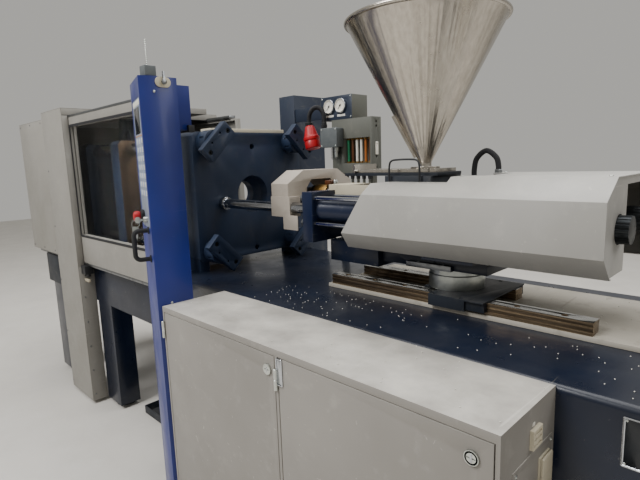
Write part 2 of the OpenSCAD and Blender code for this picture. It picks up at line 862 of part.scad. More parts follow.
// Electrical cabinet: folded shell with two door openings on the operator's side
door_gap = 3;
door_t = 20;
door_split = cabinet_x + 612;
door_z = [floor_z + 60, deck_z - 22];
left_door_x = [cabinet_x + 12, door_split - 8];
right_door_x = [door_split + 8, cabinet_end - 12];
module electrical_cabinet() {
    wall = 4;
    foot = floor_z + 20;
    recess_y = cabinet_y + door_t + 0.5;
    inside_y = recess_y + wall;
    color("#b9b5ad") {
        difference() {
            box([cabinet_x, cabinet_end], [cabinet_y, -bed_w / 2], [foot, deck_z]);
            for (x = [left_door_x, right_door_x]) {
                box([x[0] - door_gap, x[1] + door_gap], [cabinet_y - 1, recess_y],
                    [door_z[0] - door_gap, door_z[1] + door_gap]);
                box([x[0] + 10, x[1] - 10], [cabinet_y, inside_y + 1], [door_z[0] + 10, door_z[1] - 10]);
            }
            for (x = [[cabinet_x + wall, door_split - 2], [door_split + 2, cabinet_end - wall]])
                box(x, [inside_y, -bed_w / 2 - wall], [foot + wall, deck_z - wall]);
        }
        socket_plates();
        for (z = [door_z[0] + 120, door_z[1] - 60], x = [left_door_x[0], right_door_x[0]])
            bar_z(z - 28, z + 28, x - 8, cabinet_y - 3, 4);
    }
}

// Screwed plate on the cabinet's end with a slotted connector and a lidded socket
socket_y = -bed_w / 2 - 59;
socket_top = -461;
socket_l = 79;
socket_front = cabinet_end + 5.4;
module socket_plates() {
    plate_top = -434;
    plate_y = [cabinet_y + 51, -bed_w / 2 - 15];
    connector_y = [socket_y - 70, socket_y - 27];
    difference() {
        box([cabinet_end, cabinet_end + 1.5], plate_y, [plate_top - 190, plate_top]);
        for (y = plate_y + [12, -7], z = [plate_top - 178, plate_top - 12])
            bar_x(cabinet_end - 1, cabinet_end + 2, y, z, 3);
    }
    difference() {
        box([cabinet_end, cabinet_end + 8], connector_y, [-423, -382]);
        for (z = [-391, -403, -415])
            box([cabinet_end + 2, cabinet_end + 9], connector_y + [4, -4], [z - 2.5, z + 2.5]);
    }
    difference() {
        box([cabinet_end, socket_front], [socket_y - 25, socket_y + 25],
            [socket_top - socket_l, socket_top]);
        bar_x(cabinet_end + 2, socket_front + 1, socket_y, socket_top - 42, 17);
    }
    box([cabinet_end, cabinet_end + 9], [socket_y - 88, socket_y - 46], [-560, -505]);
}

module socket_lid() {
    hinge_r = 3.1;
    axis = [socket_front + 0.4 + hinge_r, socket_top - 4];
    color("#c9c6bf")
        difference() {
            union() {
                box([axis[0] - hinge_r, axis[0] + hinge_r], [socket_y - 25, socket_y + 25],
                    [socket_top - socket_l, axis[1]]);
                bar_y(socket_y - 25, socket_y + 25, axis[0], axis[1], hinge_r);
            }
            box([axis[0] - hinge_r - 1, axis[0]], [socket_y - 20, socket_y + 20],
                [socket_top - socket_l + 6, axis[1] - 8]);
        }
}

// Folded door pan with a lip all round, and the round boss of its lock
lock_z = -398;
lock_x = [left_door_x[1] - 27, right_door_x[1] - 41];
tongue_l = 26;
module door_pan(x, lock) {
    difference() {
        box(x, [cabinet_y, cabinet_y + door_t], door_z);
        box([x[0] + 3, x[1] - 3], [cabinet_y + 3, cabinet_y + door_t + 1],
            [door_z[0] + 3, door_z[1] - 3]);
        bar_y(cabinet_y - 1, cabinet_y + 5, lock, lock_z, 9 + run_gap);
    }
}

module left_door() {
    color("#bdb9b1")
        door_pan(left_door_x, lock_x[0]);
}

module right_door() {
    color("#bdb9b1")
        door_pan(right_door_x, lock_x[1]);
}

// Quarter-turn lock, open: round face, slot and the tongue that turns behind the door frame
module quarter_turn(x) {
    color("#8f9296")
        difference() {
            union() {
                bar_y(cabinet_y - 5, cabinet_y - 0.3, x, lock_z, 15);
                bar_y(cabinet_y - 1, cabinet_y + door_t + 11, x, lock_z, 9);
                box([x - 6, x + 6], [cabinet_y + door_t + 6, cabinet_y + door_t + 10],
                    [lock_z - 9, lock_z + tongue_l]);
            }
            box([x - 9, x + 9], [cabinet_y - 6, cabinet_y - 3], [lock_z - 1.5, lock_z + 1.5]);
        }
}

module left_lock() { quarter_turn(lock_x[0]); }
module right_lock() { quarter_turn(lock_x[1]); }

// Two ground rails with oil grooves, bolted to the bed's pad; the far one is shorter
rail_x = [760, 1677];
module slide_rails() {
    color("#5a4e42") {
        slide_rail(1395);
        mirror([0, 1, 0])
            slide_rail(rail_x[1]);
    }
}

module slide_rail(end_x) {
    faces = [rail_y - rail_w / 2, rail_y + rail_w / 2];
    difference() {
        box([rail_x[0], end_x], faces, [pad_top, rail_top_z]);
        for (z = [9, 22], y = faces)
            box([rail_x[0] - 1, end_x + 1], [y - 3, y + 3], [pad_top + z, pad_top + z + 4]);
        for (x = [rail_x[0] + 60 : 130 : end_x - 30])
            bar_z(rail_top_z - 12, rail_top_z + 1, x, rail_y, 9);
    }
}

saddle_x = [1140, 1390];
saddle_top = rail_top_z + 5;
module carriage_saddle() {
    shoe_x = [1205, 1330];
    out = rail_y + rail_w / 2;
    color("#2a3340")
        difference() {
            union() {
                box([shoe_x[0], saddle_x[1]], [-out - 26, out + 26],
                    [rail_top_z + slide_gap, saddle_top]);
                box([saddle_x[0], shoe_x[0] + 1], [-66, 66], [rail_top_z + slide_gap, saddle_top]);
                both_sides()
                    box(shoe_x, [out + slide_gap, out + 26], [pad_top + 4, saddle_top]);
                both_sides()
                    box([shoe_x[1] - 1, saddle_x[1]], [out + slide_gap, out + 18],
                        [pad_top + 8, saddle_top]);
            }
            for (x = [shoe_x[0] + 16, shoe_x[1] - 16], s = sides)
                bar_z(saddle_top - 8, saddle_top + 1, x, s * (out + 13), 7);
        }
}

drum_z = [saddle_top, saddle_top + 74];
module swivel_drum() {
    ring_h = 46;
    color("#b9bcc0")
        translate([drum_x, 0, drum_z[0]])
        rotate_extrude()
        polygon([[0, 0], [drum_d / 2, 0], [drum_d / 2, ring_h], [drum_d / 2 - 3, ring_h + 3],
            [drum_d / 2 - 3, drum_z[1] - drum_z[0]], [0, drum_z[1] - drum_z[0]]]);
}

// Plate that carries the injection unit, the pads under the feed housing and the cylinders, and the
// arms that hold the cover
unit_z = [drum_z[1], drum_z[1] + 17];
module unit_base() {
    color("#2a3a58")
        difference() {
            union() {
                box([1110, 1275], [-130, 130], unit_z);
                box([1264, 1385], [-112, 112], [unit_z[0], unit_z[1] + 11]);
                box(feed_x, [-110, 110], [unit_z[1] - 1, -120]);
                box([feed_x[0], 1120], [-110, 110], unit_z);
                box([flange_x[1], feed_x[0] + 1], [-140, 140], [-222, -145]);
                both_sides() {
                    box([feed_x[1] + 5, 1380], [98, 112], [unit_z[1] - 1, hood_low]);
                    box([feed_x[1] + 5, 1380], [110, hood_base - 2], [hood_low - 10, hood_low]);
                }
            }
            for (x = [1150, 1240], s = sides)
                bar_z(unit_z[1] - 10, unit_z[1] + 1, x, s * 120, 6);
        }
}

barrel_x = [565, 1230];
band_x = [585, 675, 765, 855];
module barrel() {
    color("#6b6660")
        difference() {
            union() {
                bar_x(barrel_x[0], barrel_x[1], 0, 0, barrel_d / 2);
                bar_x(barrel_x[0], barrel_x[0] + 16, 0, 0, barrel_d / 2 + 6);
            }
            bar_x(barrel_x[0] - 2, barrel_x[1] + 1, 0, 0, screw_d / 2 + run_gap);
            bar_z(0, barrel_d, hopper_x, 0, neck_d / 2 - 3);
        }
}

// Split heater bands with a clamp ear and a terminal box each
module heater_bands() {
    band_l = 72;
    color("#b08d57")
        for (x = band_x)
            difference() {
                union() {
                    bar_x(x, x + band_l, 0, 0, barrel_d / 2 + 8);
                    box([x + 8, x + band_l - 8], [-9, 9], [-barrel_d / 2 - 16, -barrel_d / 2]);
                }
                bar_x(x - 1, x + band_l + 1, 0, 0, barrel_d / 2);
                box([x - 1, x + band_l + 1], [-1.5, 1.5], [-barrel_d, -barrel_d / 2 + 2]);
            }
}

nozzle_tip = 430;
module nozzle() {
    color("#84868a")
        difference() {
            union() {
                translate([barrel_x[0] - 45, 0, 0])
                    rotate([0, 90, 0])
                    cylinder(h = 45, r = 38);
                translate([nozzle_tip, 0, 0])
                    rotate([0, 90, 0])
                    rotate_extrude()
                    polygon([[0, 0], [9, 0], [14, 7], [16, 22], [16, 60], [24, 70], [24, 92], [0, 92]]);
            }
            bar_x(nozzle_tip - 1, barrel_x[0] - 30, 0, 0, 3.5);
            bar_x(barrel_x[0] - 31, barrel_x[0] + 1, 0, 0, screw_d / 2 + run_gap);
        }
}

// Screw with a helical flight made of turned rings set close to the pitch, and its drive shank
module screw() {
    pitch = screw_d;
    first = barrel_x[0] - 10;
    last = hopper_x + 40;
    core = screw_d / 2 - 5;
    color("#9fa2a6") {
        bar_x(first, last, 0, 0, core);
        translate([first - 18, 0, 0])
            rotate([0, 90, 0])
            cylinder(h = 18, r1 = 3, r2 = core);
        for (x = [first + 20 : pitch : last - 8])
            bar_x(x, x + 5, 0, 0, screw_d / 2);
        bar_x(last, 1560, 0, 0, screw_d / 2);
    }
}

// Pull-in cylinders beside the barrel: head plate, tube and four tie rods each
module pull_in_cylinders() {
    tube_r = 42;
    bore_r = 33;
    tie = 46;
    color("#22345e")
        difference() {
            union() {
                for (s = sides) {
                    box(flange_x, [s * rod_y - 62, s * rod_y + 62], [-145, 37]);
                    bar_x(flange_x[1], tube_end, s * rod_y, rod_z, tube_r);
                    box([tube_end, feed_x[1] - 24], [s * rod_y - 54, s * rod_y + 54],
                        [rod_z - 54, rod_z + 54]);
                    for (a = sides, b = sides)
                        bar_x(flange_x[1], tube_end, s * rod_y + a * tie, rod_z + b * tie, 8);
                }
                box([flange_x[0] + 4, flange_x[1]], [-rod_y, rod_y], [-142, -98]);
            }
            for (s = sides) {
                bar_x(flange_x[1], tube_end, s * rod_y, rod_z, bore_r);
                bar_x(flange_x[0] - 1, flange_x[1] + 1, s * rod_y, rod_z, rod_d / 2 + run_gap);
            }
        }
}

module pull_in_rods() {
    piston_x = [flange_x[1] + 3, flange_x[1] + 13];
    color("#aeb3ba")
        for (s = sides) {
            bar_x(60, piston_x[1], s * rod_y, rod_z, rod_d / 2);
            bar_x(piston_x[0], piston_x[1], s * rod_y, rod_z, 33 - run_gap);
            bar_x(fixed_t, fixed_t + 26, s * rod_y, rod_z, rod_d / 2 + 8);
        }
}

inj_y = 118;
inj_z = -40;
inj_x = [feed_x[1], 1470];
inj_rod_r = 25;
module feed_housing() {
    throat_r = neck_d / 2 - 3;
    bore_r = 40;
    shield_y = 62;
    shield_z = [-15, 54];
    color("#3a4350")
        difference() {
            union() {
                box([feed_x[0], feed_x[1] - 24], [-feed_y, feed_y], [-120, plate_z]);
                box([feed_x[1] - 24, feed_x[1]], [-190, 190], [-112, 64]);
                for (s = sides)
                    bar_x(inj_x[0], inj_x[1], s * inj_y, inj_z, bore_r + 12);
                box([798, 1194], [-75, 75], [plate_z, plate_z + 10]);
                difference() {
                    box([700, feed_x[0] + 1], [-shield_y, shield_y], shield_z);
                    box([699, feed_x[0]], [-shield_y + 2, shield_y - 2], shield_z - [1, 2]);
                }
            }
            bar_x(feed_x[0] - 1, feed_x[1] + 30, 0, 0, barrel_d / 2);
            bar_z(0, plate_z + 11, hopper_x, 0, throat_r);
            for (s = sides) {
                bar_x(inj_x[0] + 10, inj_x[1] - 18, s * inj_y, inj_z, bore_r);
                bar_x(inj_x[1] - 19, inj_x[1] + 1, s * inj_y, inj_z, inj_rod_r + run_gap);
            }
        }
}

// Moving drive: traverse plate with the two injection rods, the motor and its hose ports
trav_x = [1500, 1540];
knob_r = 35;
knob_end = 1748;
motor_x = [1560, 1690];
module hydraulic_motor() {
    color("#24282e") {
        difference() {
            union() {
                box(trav_x, [-190, 190], [-92, 62]);
                bar_x(trav_x[1], motor_x[0], 0, 0, 70);
                bar_x(motor_x[0], motor_x[1], 0, 0, 58);
                for (s = sides) {
                    bar_x(trav_x[1], trav_x[1] + 24, s * inj_y, inj_z, 44);
                    bar_z(50, 62, motor_x[1] - 40, s * 18, 11);
                }
            }
            bar_x(trav_x[0] - 1, 1562, 0, 0, screw_d / 2 + run_gap);
        }
        for (s = sides) {
            bar_x(inj_x[0] + 40, trav_x[0], s * inj_y, inj_z, inj_rod_r);
            bar_x(inj_x[0] + 30, inj_x[0] + 60, s * inj_y, inj_z, 40 - run_gap);
        }
        knurled_nuts();
    }
}

// Large ribbed nuts on the ends of the injection rods
module knurled_nuts() {
    ribs = 18;
    for (s = sides)
        translate([0, s * inj_y, inj_z])
            difference() {
                bar_x(trav_x[1] + 24, knob_end, 0, 0, knob_r);
                for (i = [0 : ribs - 1])
                    rotate([i * 360 / ribs, 0, 0])
                        bar_x(knob_end - 46, knob_end + 1, 0, knob_r + 1.6, 3.4);
            }
}

// Sheet cover of the injection unit: eight-sided section, slanted front end, inset end plate
hood_side = hood_w / 2;
hood_flat = hood_side - 80;
hood_base = hood_side - 55;
hood_top = 89;
hood_low = -152;
hood_ridge = [-95, 36];
hood_points = [[-hood_base, hood_low], [hood_base, hood_low], [hood_side, hood_ridge[0]],
    [hood_side, hood_ridge[1]], [hood_flat, hood_top], [-hood_flat, hood_top],
    [-hood_side, hood_ridge[1]], [-hood_side, hood_ridge[0]]];

step_x = 1297;
step_drop = 20;
hood_low_y = hood_flat + step_drop / (hood_top - hood_ridge[1]) * (hood_side - hood_flat);
module injection_cover() {
    t = sheet_t;
    plate_x = hood_x[1] - 9;
    feed_gap = feed_y + 1.5;
    low_top = hood_top - step_drop;
    top_x = hood_x[0] + 109;
    color("#bcb8b0") {
        difference() {
            along_x(hood_x[0], hood_x[1] - hood_x[0])
                polygon(hood_points);
            along_x(hood_x[0] - 1, hood_x[1] - hood_x[0] + 2)
                polygon(inset(hood_points, t));
            box([hood_x[0] - 1, hood_x[1] + 1], [-hood_base + 9, hood_base - 9],
                [hood_low - 1, hood_low + t + 1]);
            along_y(-hood_side - 1, 2 * hood_side + 2)
                polygon([[hood_x[0] - 1, hood_low - 1], [hood_x[0], hood_low - 1],
                    [hood_x[0] + 19, hood_ridge[0]], [top_x, hood_ridge[1]],
                    [top_x, hood_top + 1], [hood_x[0] - 1, hood_top + 1]]);
            box([hood_x[0] - 1, step_x], [-hood_side, hood_side], [low_top, hood_top + 1]);
            box([hood_x[0] - 1, step_x + 70], [-feed_gap, feed_gap], [low_top - 40, hood_top + 1]);
        }
        both_sides() {
            along_x(step_x - 0.5, t + 0.5)
                polygon([[feed_gap, low_top - t], [hood_low_y + 1, low_top - t],
                    [hood_flat, hood_top - 1], [feed_gap, hood_top - 1]]);
            box([top_x, step_x], [feed_gap, hood_low_y - 1], [low_top - t, low_top]);
        }
        difference() {
            along_x(plate_x, t)
                polygon(inset(hood_points, t / 2));
            for (s = sides)
                bar_x(plate_x - 1, plate_x + t + 1, s * inj_y, inj_z, knob_r + 3);
            box([plate_x - 1, plate_x + t + 1], [-62, 150], [hood_low - 1, 66]);
        }
    }
}

// Stainless hopper: open cone with a rolled rim, a neck and a flange on the slide
module hopper() {
    wall = 2;
    top = neck_z + hopper_h;
    r0 = neck_d / 2;
    r1 = hopper_d / 2;
    bead = 7;
    color("#b7b2ab")
        translate([hopper_x, 0, 0])
        rotate_extrude() {
            polygon([[r0, neck_z], [r1, top], [r1 - wall, top], [r0 - wall, neck_z]]);
            translate([r0 - wall, plate_z + 22])
                square([wall, neck_z - plate_z - 22]);
            translate([r0 - wall, plate_z + 22])
                square([30, 6]);
            translate([r1, top])
                circle(bead, $fn = 16);
        }
    color("#e8e2d2")
        translate([hopper_x, 0, neck_z])
        rotate([0, 0, 217])
        rotate([0, atan2(r1 - r0, hopper_h), 0])
        box([r0 - 3, r0 + 6], [-11, 11], [30, 190]);
}

module hopper_slide() {
    z = plate_z + 10 + slide_gap;
    throat_r = neck_d / 2 - 3;
    color("#c3bfb8")
        difference() {
            union() {
                box([826, 1180], [-64, 64], [z, plate_z + 22]);
                box([826, 838], [-64, 64], [z, z + 30]);
                bar_y(-84, -64, 850, z + 6, 5);
            }
            bar_z(z - 1, z + 40, hopper_x, 0, throat_r);
        }
}

// Purge guard: two trapezoid plates joined by a folded skin, hung on the pull-in rods by boxed shoes
guard_x = [497, 596];
guard_z = [10, 62, 112];
guard_outline = [[-186, guard_z[0]], [186, guard_z[0]], [186, guard_z[1]], [100, guard_z[2]],
    [-100, guard_z[2]], [-186, guard_z[1]]];
guard_inner = [[-186, -20], [186, -20], [186, guard_z[1]], [100, guard_z[2]], [-100, guard_z[2]],
    [-186, guard_z[1]]];
module nozzle_guard() {
    t = 3;
    shoe_x = [501, 612];
    shoe_y = [rod_y - 34, rod_y + 24];
    shoe_z = [-67, guard_z[0] + 2];
    color("#b8ad98") {
        difference() {
            along_x(guard_x[0], guard_x[1] - guard_x[0])
                polygon(guard_outline);
            along_x(guard_x[0] + t, guard_x[1] - guard_x[0] - 2 * t)
                polygon(inset(guard_inner, t));
            along_x(guard_x[1] - t - 1, t + 2)
                polygon([[-84, 0], [-84, 40], [-56, 74], [56, 74], [84, 40], [84, 0]]);
            along_x(guard_x[0] - 1, t + 2)
                polygon([[-60, 0], [-60, 30], [-34, 58], [34, 58], [60, 30], [60, 0]]);
        }
        both_sides() {
            difference() {
                box(shoe_x, shoe_y, shoe_z);
                box(shoe_x + [t, -t], shoe_y + [t, -t], shoe_z + [t, -t]);
                bar_x(shoe_x[0] - 1, shoe_x[1] + 1, rod_y, rod_z, rod_d / 2 + slide_gap);
            }
            box([571, 655], [shoe_y[1] - t, shoe_y[1]], [-116, shoe_z[0] + 8]);
        }
    }
}

// Dark post behind the fixed platen that carries the services
post_x = [-42, 76];
post_back_y = bed_w / 2 + 135;
module rear_column() {
    color("#243149") {
        box(post_x, [bed_w / 2 - 85, post_back_y], [deck_z, 490]);
        box(post_x, [bed_w / 2 + 3, post_back_y], [floor_z + 15, deck_z + 1]);
    }
}

// Flow regulator frame of the cooling circuits on its two posts
manifold_x = [430, 665];
manifold_y = [250, 318];
manifold_z = [86, 330];
tube_window = [[503, 655], [131, 243]];
module cooling_manifold() {
    color("#5b5f60") {
        difference() {
            box(manifold_x, manifold_y, manifold_z);
            box(tube_window[0], [manifold_y[0] - 1, manifold_y[1] - 6], tube_window[1]);
            for (z = [110, 160, 290, 310])
                bar_x(manifold_x[1] - 6, manifold_x[1] + 1, 284, z, 6);
        }
        for (x = [450, 630])
            box([x, x + 22], [272, 302], [deck_z, manifold_z[0]]);
        for (i = [0 : 5])
            bar_z(40, manifold_z[0], 470 + i * 34, 266, 7);
    }
}

module flow_tubes() {
    n = 6;
    pitch = (tube_window[0][1] - tube_window[0][0]) / n;
    color("#3fa36b")
        for (i = [0 : n - 1])
            bar_z(tube_window[1][0], tube_window[1][1],
                tube_window[0][0] + (i + 0.5) * pitch, manifold_y[0] + 20, 8);
}

gauge_x = [365, 556];
gauge_z = [manifold_z[1], 437];
gauge_c = [420, 491];
gauge_r = 31;
module gauge_box() {
    color("#2a3a5c") {
        difference() {
            box(gauge_x, [250, 358], gauge_z);
            for (x = gauge_c)
                bar_y(249, 256, x, 392, gauge_r - 4);
        }
        box([post_x[1], gauge_x[0]], [346, 358], [gauge_z[0] + 20, gauge_z[1] - 20]);
    }
}

module pressure_gauges() {
    color("#d9d9d4")
        for (x = gauge_c)
            difference() {
                union() {
                    bar_y(240, 250, x, 392, gauge_r);
                    bar_y(249, 255, x, 392, gauge_r - 5);
                }
                bar_y(239, 244, x, 392, gauge_r - 4);
                bar_y(239, 250, x, 392, 2 + run_gap);
            }
}

module gauge_needle(x, a) {
    color("#17181a")
        translate([x, 0, 392])
        rotate([0, a, 0]) {
            bar_y(241, 250, 0, 0, 2);
            bar_y(241, 243, 0, 0, 4);
            box([-1, 1], [241, 242.5], [-8, 20]);
        }
}

module gauge_needle_left() { gauge_needle(gauge_c[0], -140); }
module gauge_needle_right() { gauge_needle(gauge_c[1], -140); }

// Junction box with its clear cap and the bent conduit up to the red connector
conduit_r = 9;
bend_r = 50;
conduit_x = [304, 404];
conduit_top = 345;
plug_top = 316;
plug_lean = 12;
plug_play = conduit_r * sin(plug_lean) + joint_gap;
module junction_box() {
    color("#6f7274") {
        box([402, 503], [200, 250], [206, 292]);
        bar_z(276, 302, conduit_x[1], 226, 14);
        bar_z(302, conduit_top, conduit_x[1], 226, conduit_r);
        bar_z(plug_top, conduit_top, conduit_x[0], 226, conduit_r);
        translate([(conduit_x[0] + conduit_x[1]) / 2, 226, conduit_top])
            rotate([90, 0, 0])
            rotate_extrude(angle = 180)
            translate([bend_r, 0])
            circle(conduit_r, $fn = 24);
    }
    color("#cfd6d8")
        box([450, 496], [212, 246], [150, 206]);
}

// Red industrial connector, hanging from the conduit, in a shell of stepped cones
module red_connector() {
    color("#c0212b")
        translate([conduit_x[0], 226, plug_top - plug_play])
        rotate([0, 180 - plug_lean, 0])
        rotate_extrude()
        polygon([[0, 0], [16, 0], [22, 6], [34, 52], [39, 56], [39, 70], [35, 74], [37, 78],
            [37, 108], [33, 112], [0, 112]]);
}

clamp_base();
injection_bed();
levelling_feet();
floor_tray();
fixed_platen();
tie_bars();
tie_bar_nuts();
rear_platen();
clamp_cylinder();
clamp_covers();
gate_rails();
limit_switch();
control_column();
control_panel();
toggle_lever();
electrical_cabinet();
slide_rails();
pull_in_rods();
cooling_manifold();
flow_tubes();
gauge_box();
pressure_gauges();
junction_box();
red_connector();
rear_column();
front_gate();
gate_window();
rear_gate();
rear_link_upper();
rear_link_lower();
front_link_upper();
front_link_lower();
cross_link_upper();
cross_link_lower();
crosshead();
moving_platen();
ejector_rod();
carriage_saddle();
swivel_drum();
unit_base();
barrel();
heater_bands();
nozzle();
pull_in_cylinders();
feed_housing();
injection_cover();
hydraulic_motor();
screw();
hopper_slide();
hopper();
nozzle_guard();
left_door();
right_door();
left_lock();
right_lock();
emergency_stop();
key_switch();
gauge_needle_left();
gauge_needle_right();
socket_lid();
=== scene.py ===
"""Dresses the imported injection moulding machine.

Every CAD part gets its finish, the small pieces that sit on the parts are added, and the stage is
set. The frame's X runs along the machine axis towards the hydraulic end, -Y is the operator's side
and Z is up. The frame is in metres, and the pieces below are written in millimetres.
"""
import math

import bmesh
import bpy
import numpy as np
from mathutils import Matrix, Vector


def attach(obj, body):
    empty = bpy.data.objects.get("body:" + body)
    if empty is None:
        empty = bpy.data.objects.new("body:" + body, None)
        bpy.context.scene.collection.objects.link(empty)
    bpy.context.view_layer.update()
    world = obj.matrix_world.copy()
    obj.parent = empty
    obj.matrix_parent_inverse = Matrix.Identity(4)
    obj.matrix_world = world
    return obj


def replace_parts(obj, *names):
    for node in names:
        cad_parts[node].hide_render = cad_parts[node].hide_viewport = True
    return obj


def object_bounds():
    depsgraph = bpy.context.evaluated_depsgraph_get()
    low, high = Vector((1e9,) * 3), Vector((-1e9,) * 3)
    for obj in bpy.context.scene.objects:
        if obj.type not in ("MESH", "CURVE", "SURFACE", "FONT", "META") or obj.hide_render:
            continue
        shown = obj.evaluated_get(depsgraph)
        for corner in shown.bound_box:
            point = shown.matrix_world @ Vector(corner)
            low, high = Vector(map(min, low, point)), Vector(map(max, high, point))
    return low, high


bl_info = {
    "name": "Injection moulding machine",
    "version": (1, 0, 0),
    "blender": (4, 5, 0),
    "location": "View3D > Sidebar > Machine",
    "description": "Finishes, fittings, hoses and stage for a toggle injection moulding machine",
    "category": "Object",
}

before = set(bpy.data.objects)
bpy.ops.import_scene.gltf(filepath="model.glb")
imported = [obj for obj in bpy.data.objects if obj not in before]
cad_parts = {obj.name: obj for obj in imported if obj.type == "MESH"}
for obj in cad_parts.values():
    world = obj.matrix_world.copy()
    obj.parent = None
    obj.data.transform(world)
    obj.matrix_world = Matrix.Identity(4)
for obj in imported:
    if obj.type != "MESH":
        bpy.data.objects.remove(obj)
CAD_BOX = [list(corner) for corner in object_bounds()]
MM = 0.001

# Sockets of the colour Mix node, which share their names with those of its other data types
MIX_FIRST, MIX_SECOND, MIX_RESULT = 6, 7, 2


def linear(code):
    """sRGB hex code to a linear colour with full alpha."""
    parts = [int(code[i:i + 2], 16) / 255 for i in (1, 3, 5)]
    return [c / 12.92 if c <= 0.04045 else ((c + 0.055) / 1.055) ** 2.4 for c in parts] + [1.0]


def node(tree, kind, inputs=None, **settings):
    """Adds a shader node, sets its properties and inputs, and links each input given a socket."""
    made = tree.nodes.new("ShaderNode" + kind)
    for name, value in settings.items():
        setattr(made, name, value)
    for name, value in (inputs or {}).items():
        if isinstance(value, bpy.types.NodeSocket):
            tree.links.new(value, made.inputs[name])
        else:
            made.inputs[name].default_value = value
    return made


def new_material(name, inputs=None):
    """Material with one Principled shader: itself, its tree, the shader and Object coordinates."""
    material = bpy.data.materials.new(name)
    material.use_nodes = True
    tree = material.node_tree
    tree.nodes.clear()
    shader = node(tree, "BsdfPrincipled", inputs)
    output = node(tree, "OutputMaterial")
    tree.links.new(shader.outputs["BSDF"], output.inputs["Surface"])
    place = node(tree, "TexCoord").outputs["Object"]
    return material, tree, shader, place


def spread(tree, value, start, end, low=0.0, high=1.0):
    """The value, with start to end mapped to low to high."""
    return node(tree, "MapRange", {"Value": value, "From Min": start, "From Max": end,
                                   "To Min": low, "To Max": high}).outputs["Result"]


def patches(tree, place, scale, low, high, detail=4.0, stretch=None, distortion=0.0):
    """Noise of so many waves a metre, as a mask that rises from low to high.

    stretch scales the three axes, so that a small value draws the patches out along its axis."""
    if stretch:
        place = node(tree, "Mapping", {"Vector": place, "Scale": stretch}).outputs["Vector"]
    noise = node(tree, "TexNoise", {"Vector": place, "Scale": scale, "Detail": detail,
                                    "Roughness": 0.6, "Distortion": distortion})
    return spread(tree, noise.outputs["Fac"], low, high)


def product(tree, first, second):
    """Two values multiplied."""
    return node(tree, "Math", {0: first, 1: second}, operation="MULTIPLY").outputs["Value"]


def mixed(tree, mask, first, second, amount=1.0):
    """Colour that goes from first towards second, by up to amount, as the mask goes from 0 to 1."""
    if amount != 1.0:
        mask = product(tree, mask, amount)
    mix = node(tree, "Mix", {"Factor": mask, MIX_FIRST: first, MIX_SECOND: second},
               data_type="RGBA")
    return mix.outputs[MIX_RESULT]


def facing_up(tree):
    """Mask of surfaces that face up, where dust settles."""
    normal = node(tree, "NewGeometry").outputs["Normal"]
    return spread(tree, node(tree, "SeparateXYZ", {"Vector": normal}).outputs["Z"], 0.55, 0.95)


def bumped(tree, shader, height, strength, distance):
    """Ripples the shader's surface by a height pattern."""
    bump = node(tree, "Bump", {"Height": height, "Strength": strength, "Distance": distance})
    tree.links.new(bump.outputs["Normal"], shader.inputs["Normal"])


def painted(name, paint, shade, dust, rough, dusting=0.5, peel=220.0, grime=0.35, coat=0.0):
    """Sprayed enamel on steel.

    Two close shades drift over about 0.4 m, grime gathers in patches of about 60 mm, fine scratches
    run across the machine, dust lies on what faces up, and orange peel of about 4 mm breaks the
    gloss."""
    material, tree, shader, place = new_material(name, {
        "Specular IOR Level": 0.35, "Coat Weight": coat, "Coat Roughness": 0.12, "IOR": 1.5})
    drift = patches(tree, place, 2.4, 0.35, 0.65, 3.0)
    colour = mixed(tree, drift, linear(paint), linear(shade))
    spots = patches(tree, place, 16.0, 0.56, 0.78, 8.0)
    colour = mixed(tree, spots, colour, linear(dust), grime)
    scratch = patches(tree, place, 60.0, 0.70, 0.73, 2.0, (1.0, 0.05, 0.9), 0.6)
    colour = mixed(tree, scratch, colour, linear(dust), 0.25)
    settled = product(tree, facing_up(tree), patches(tree, place, 7.0, 0.25, 0.8, 9.0))
    colour = mixed(tree, settled, colour, linear(dust), dusting)
    tree.links.new(colour, shader.inputs["Base Color"])
    worn = patches(tree, place, 9.0, 0.3, 0.75, 6.0)
    gloss = spread(tree, worn, 0.0, 1.0, rough, min(rough + 0.2, 0.9))
    tree.links.new(gloss, shader.inputs["Roughness"])
    grain = node(tree, "TexNoise", {"Vector": place, "Scale": peel, "Detail": 2.0})
    bumped(tree, shader, grain.outputs["Fac"], 0.05, 0.001)
    return material


def metal(name, bright, dark, rough, along, lines=500.0, stains=0.3, stain="#3a2c20", waves=25.0,
          uneven=0.3):
    """Bare worked steel.

    Tool lines run along the given axis, so many a metre, and oil or rust stains patches of about
    one wave, which is 40 mm where waves is 25 a metre; uneven is how much rougher they are."""
    material, tree, shader, place = new_material(name, {"Metallic": 1.0})
    stretch = {"x": (0.02, 1.0, 1.0), "z": (1.0, 1.0, 0.02), "none": (1.0, 1.0, 1.0)}[along]
    line = patches(tree, place, lines, 0.3, 0.7, 3.0, stretch)
    colour = mixed(tree, line, linear(bright), linear(dark))
    marks = patches(tree, place, waves, 0.52, 0.75, 6.0)
    colour = mixed(tree, marks, colour, linear(stain), stains)
    tree.links.new(colour, shader.inputs["Base Color"])
    gloss = spread(tree, marks, 0.0, 1.0, rough, min(rough + uneven, 0.95))
    tree.links.new(gloss, shader.inputs["Roughness"])
    bumped(tree, shader, line, 0.12, 0.0006)
    return material


def moulded(name, base, shade, rough, grain=240.0):
    """Moulded plastic with handling marks and a spark-eroded grain of so many waves a metre."""
    material, tree, shader, place = new_material(name, {"IOR": 1.46})
    marks = patches(tree, place, 30.0, 0.35, 0.75, 6.0)
    tree.links.new(mixed(tree, marks, linear(base), linear(shade)), shader.inputs["Base Color"])
    gloss = spread(tree, marks, 0.0, 1.0, rough, min(rough + 0.18, 0.95))
    tree.links.new(gloss, shader.inputs["Roughness"])
    texture = node(tree, "TexNoise", {"Vector": place, "Scale": grain, "Detail": 2.0})
    bumped(tree, shader, texture.outputs["Fac"], 0.08, 0.0005)
    return material


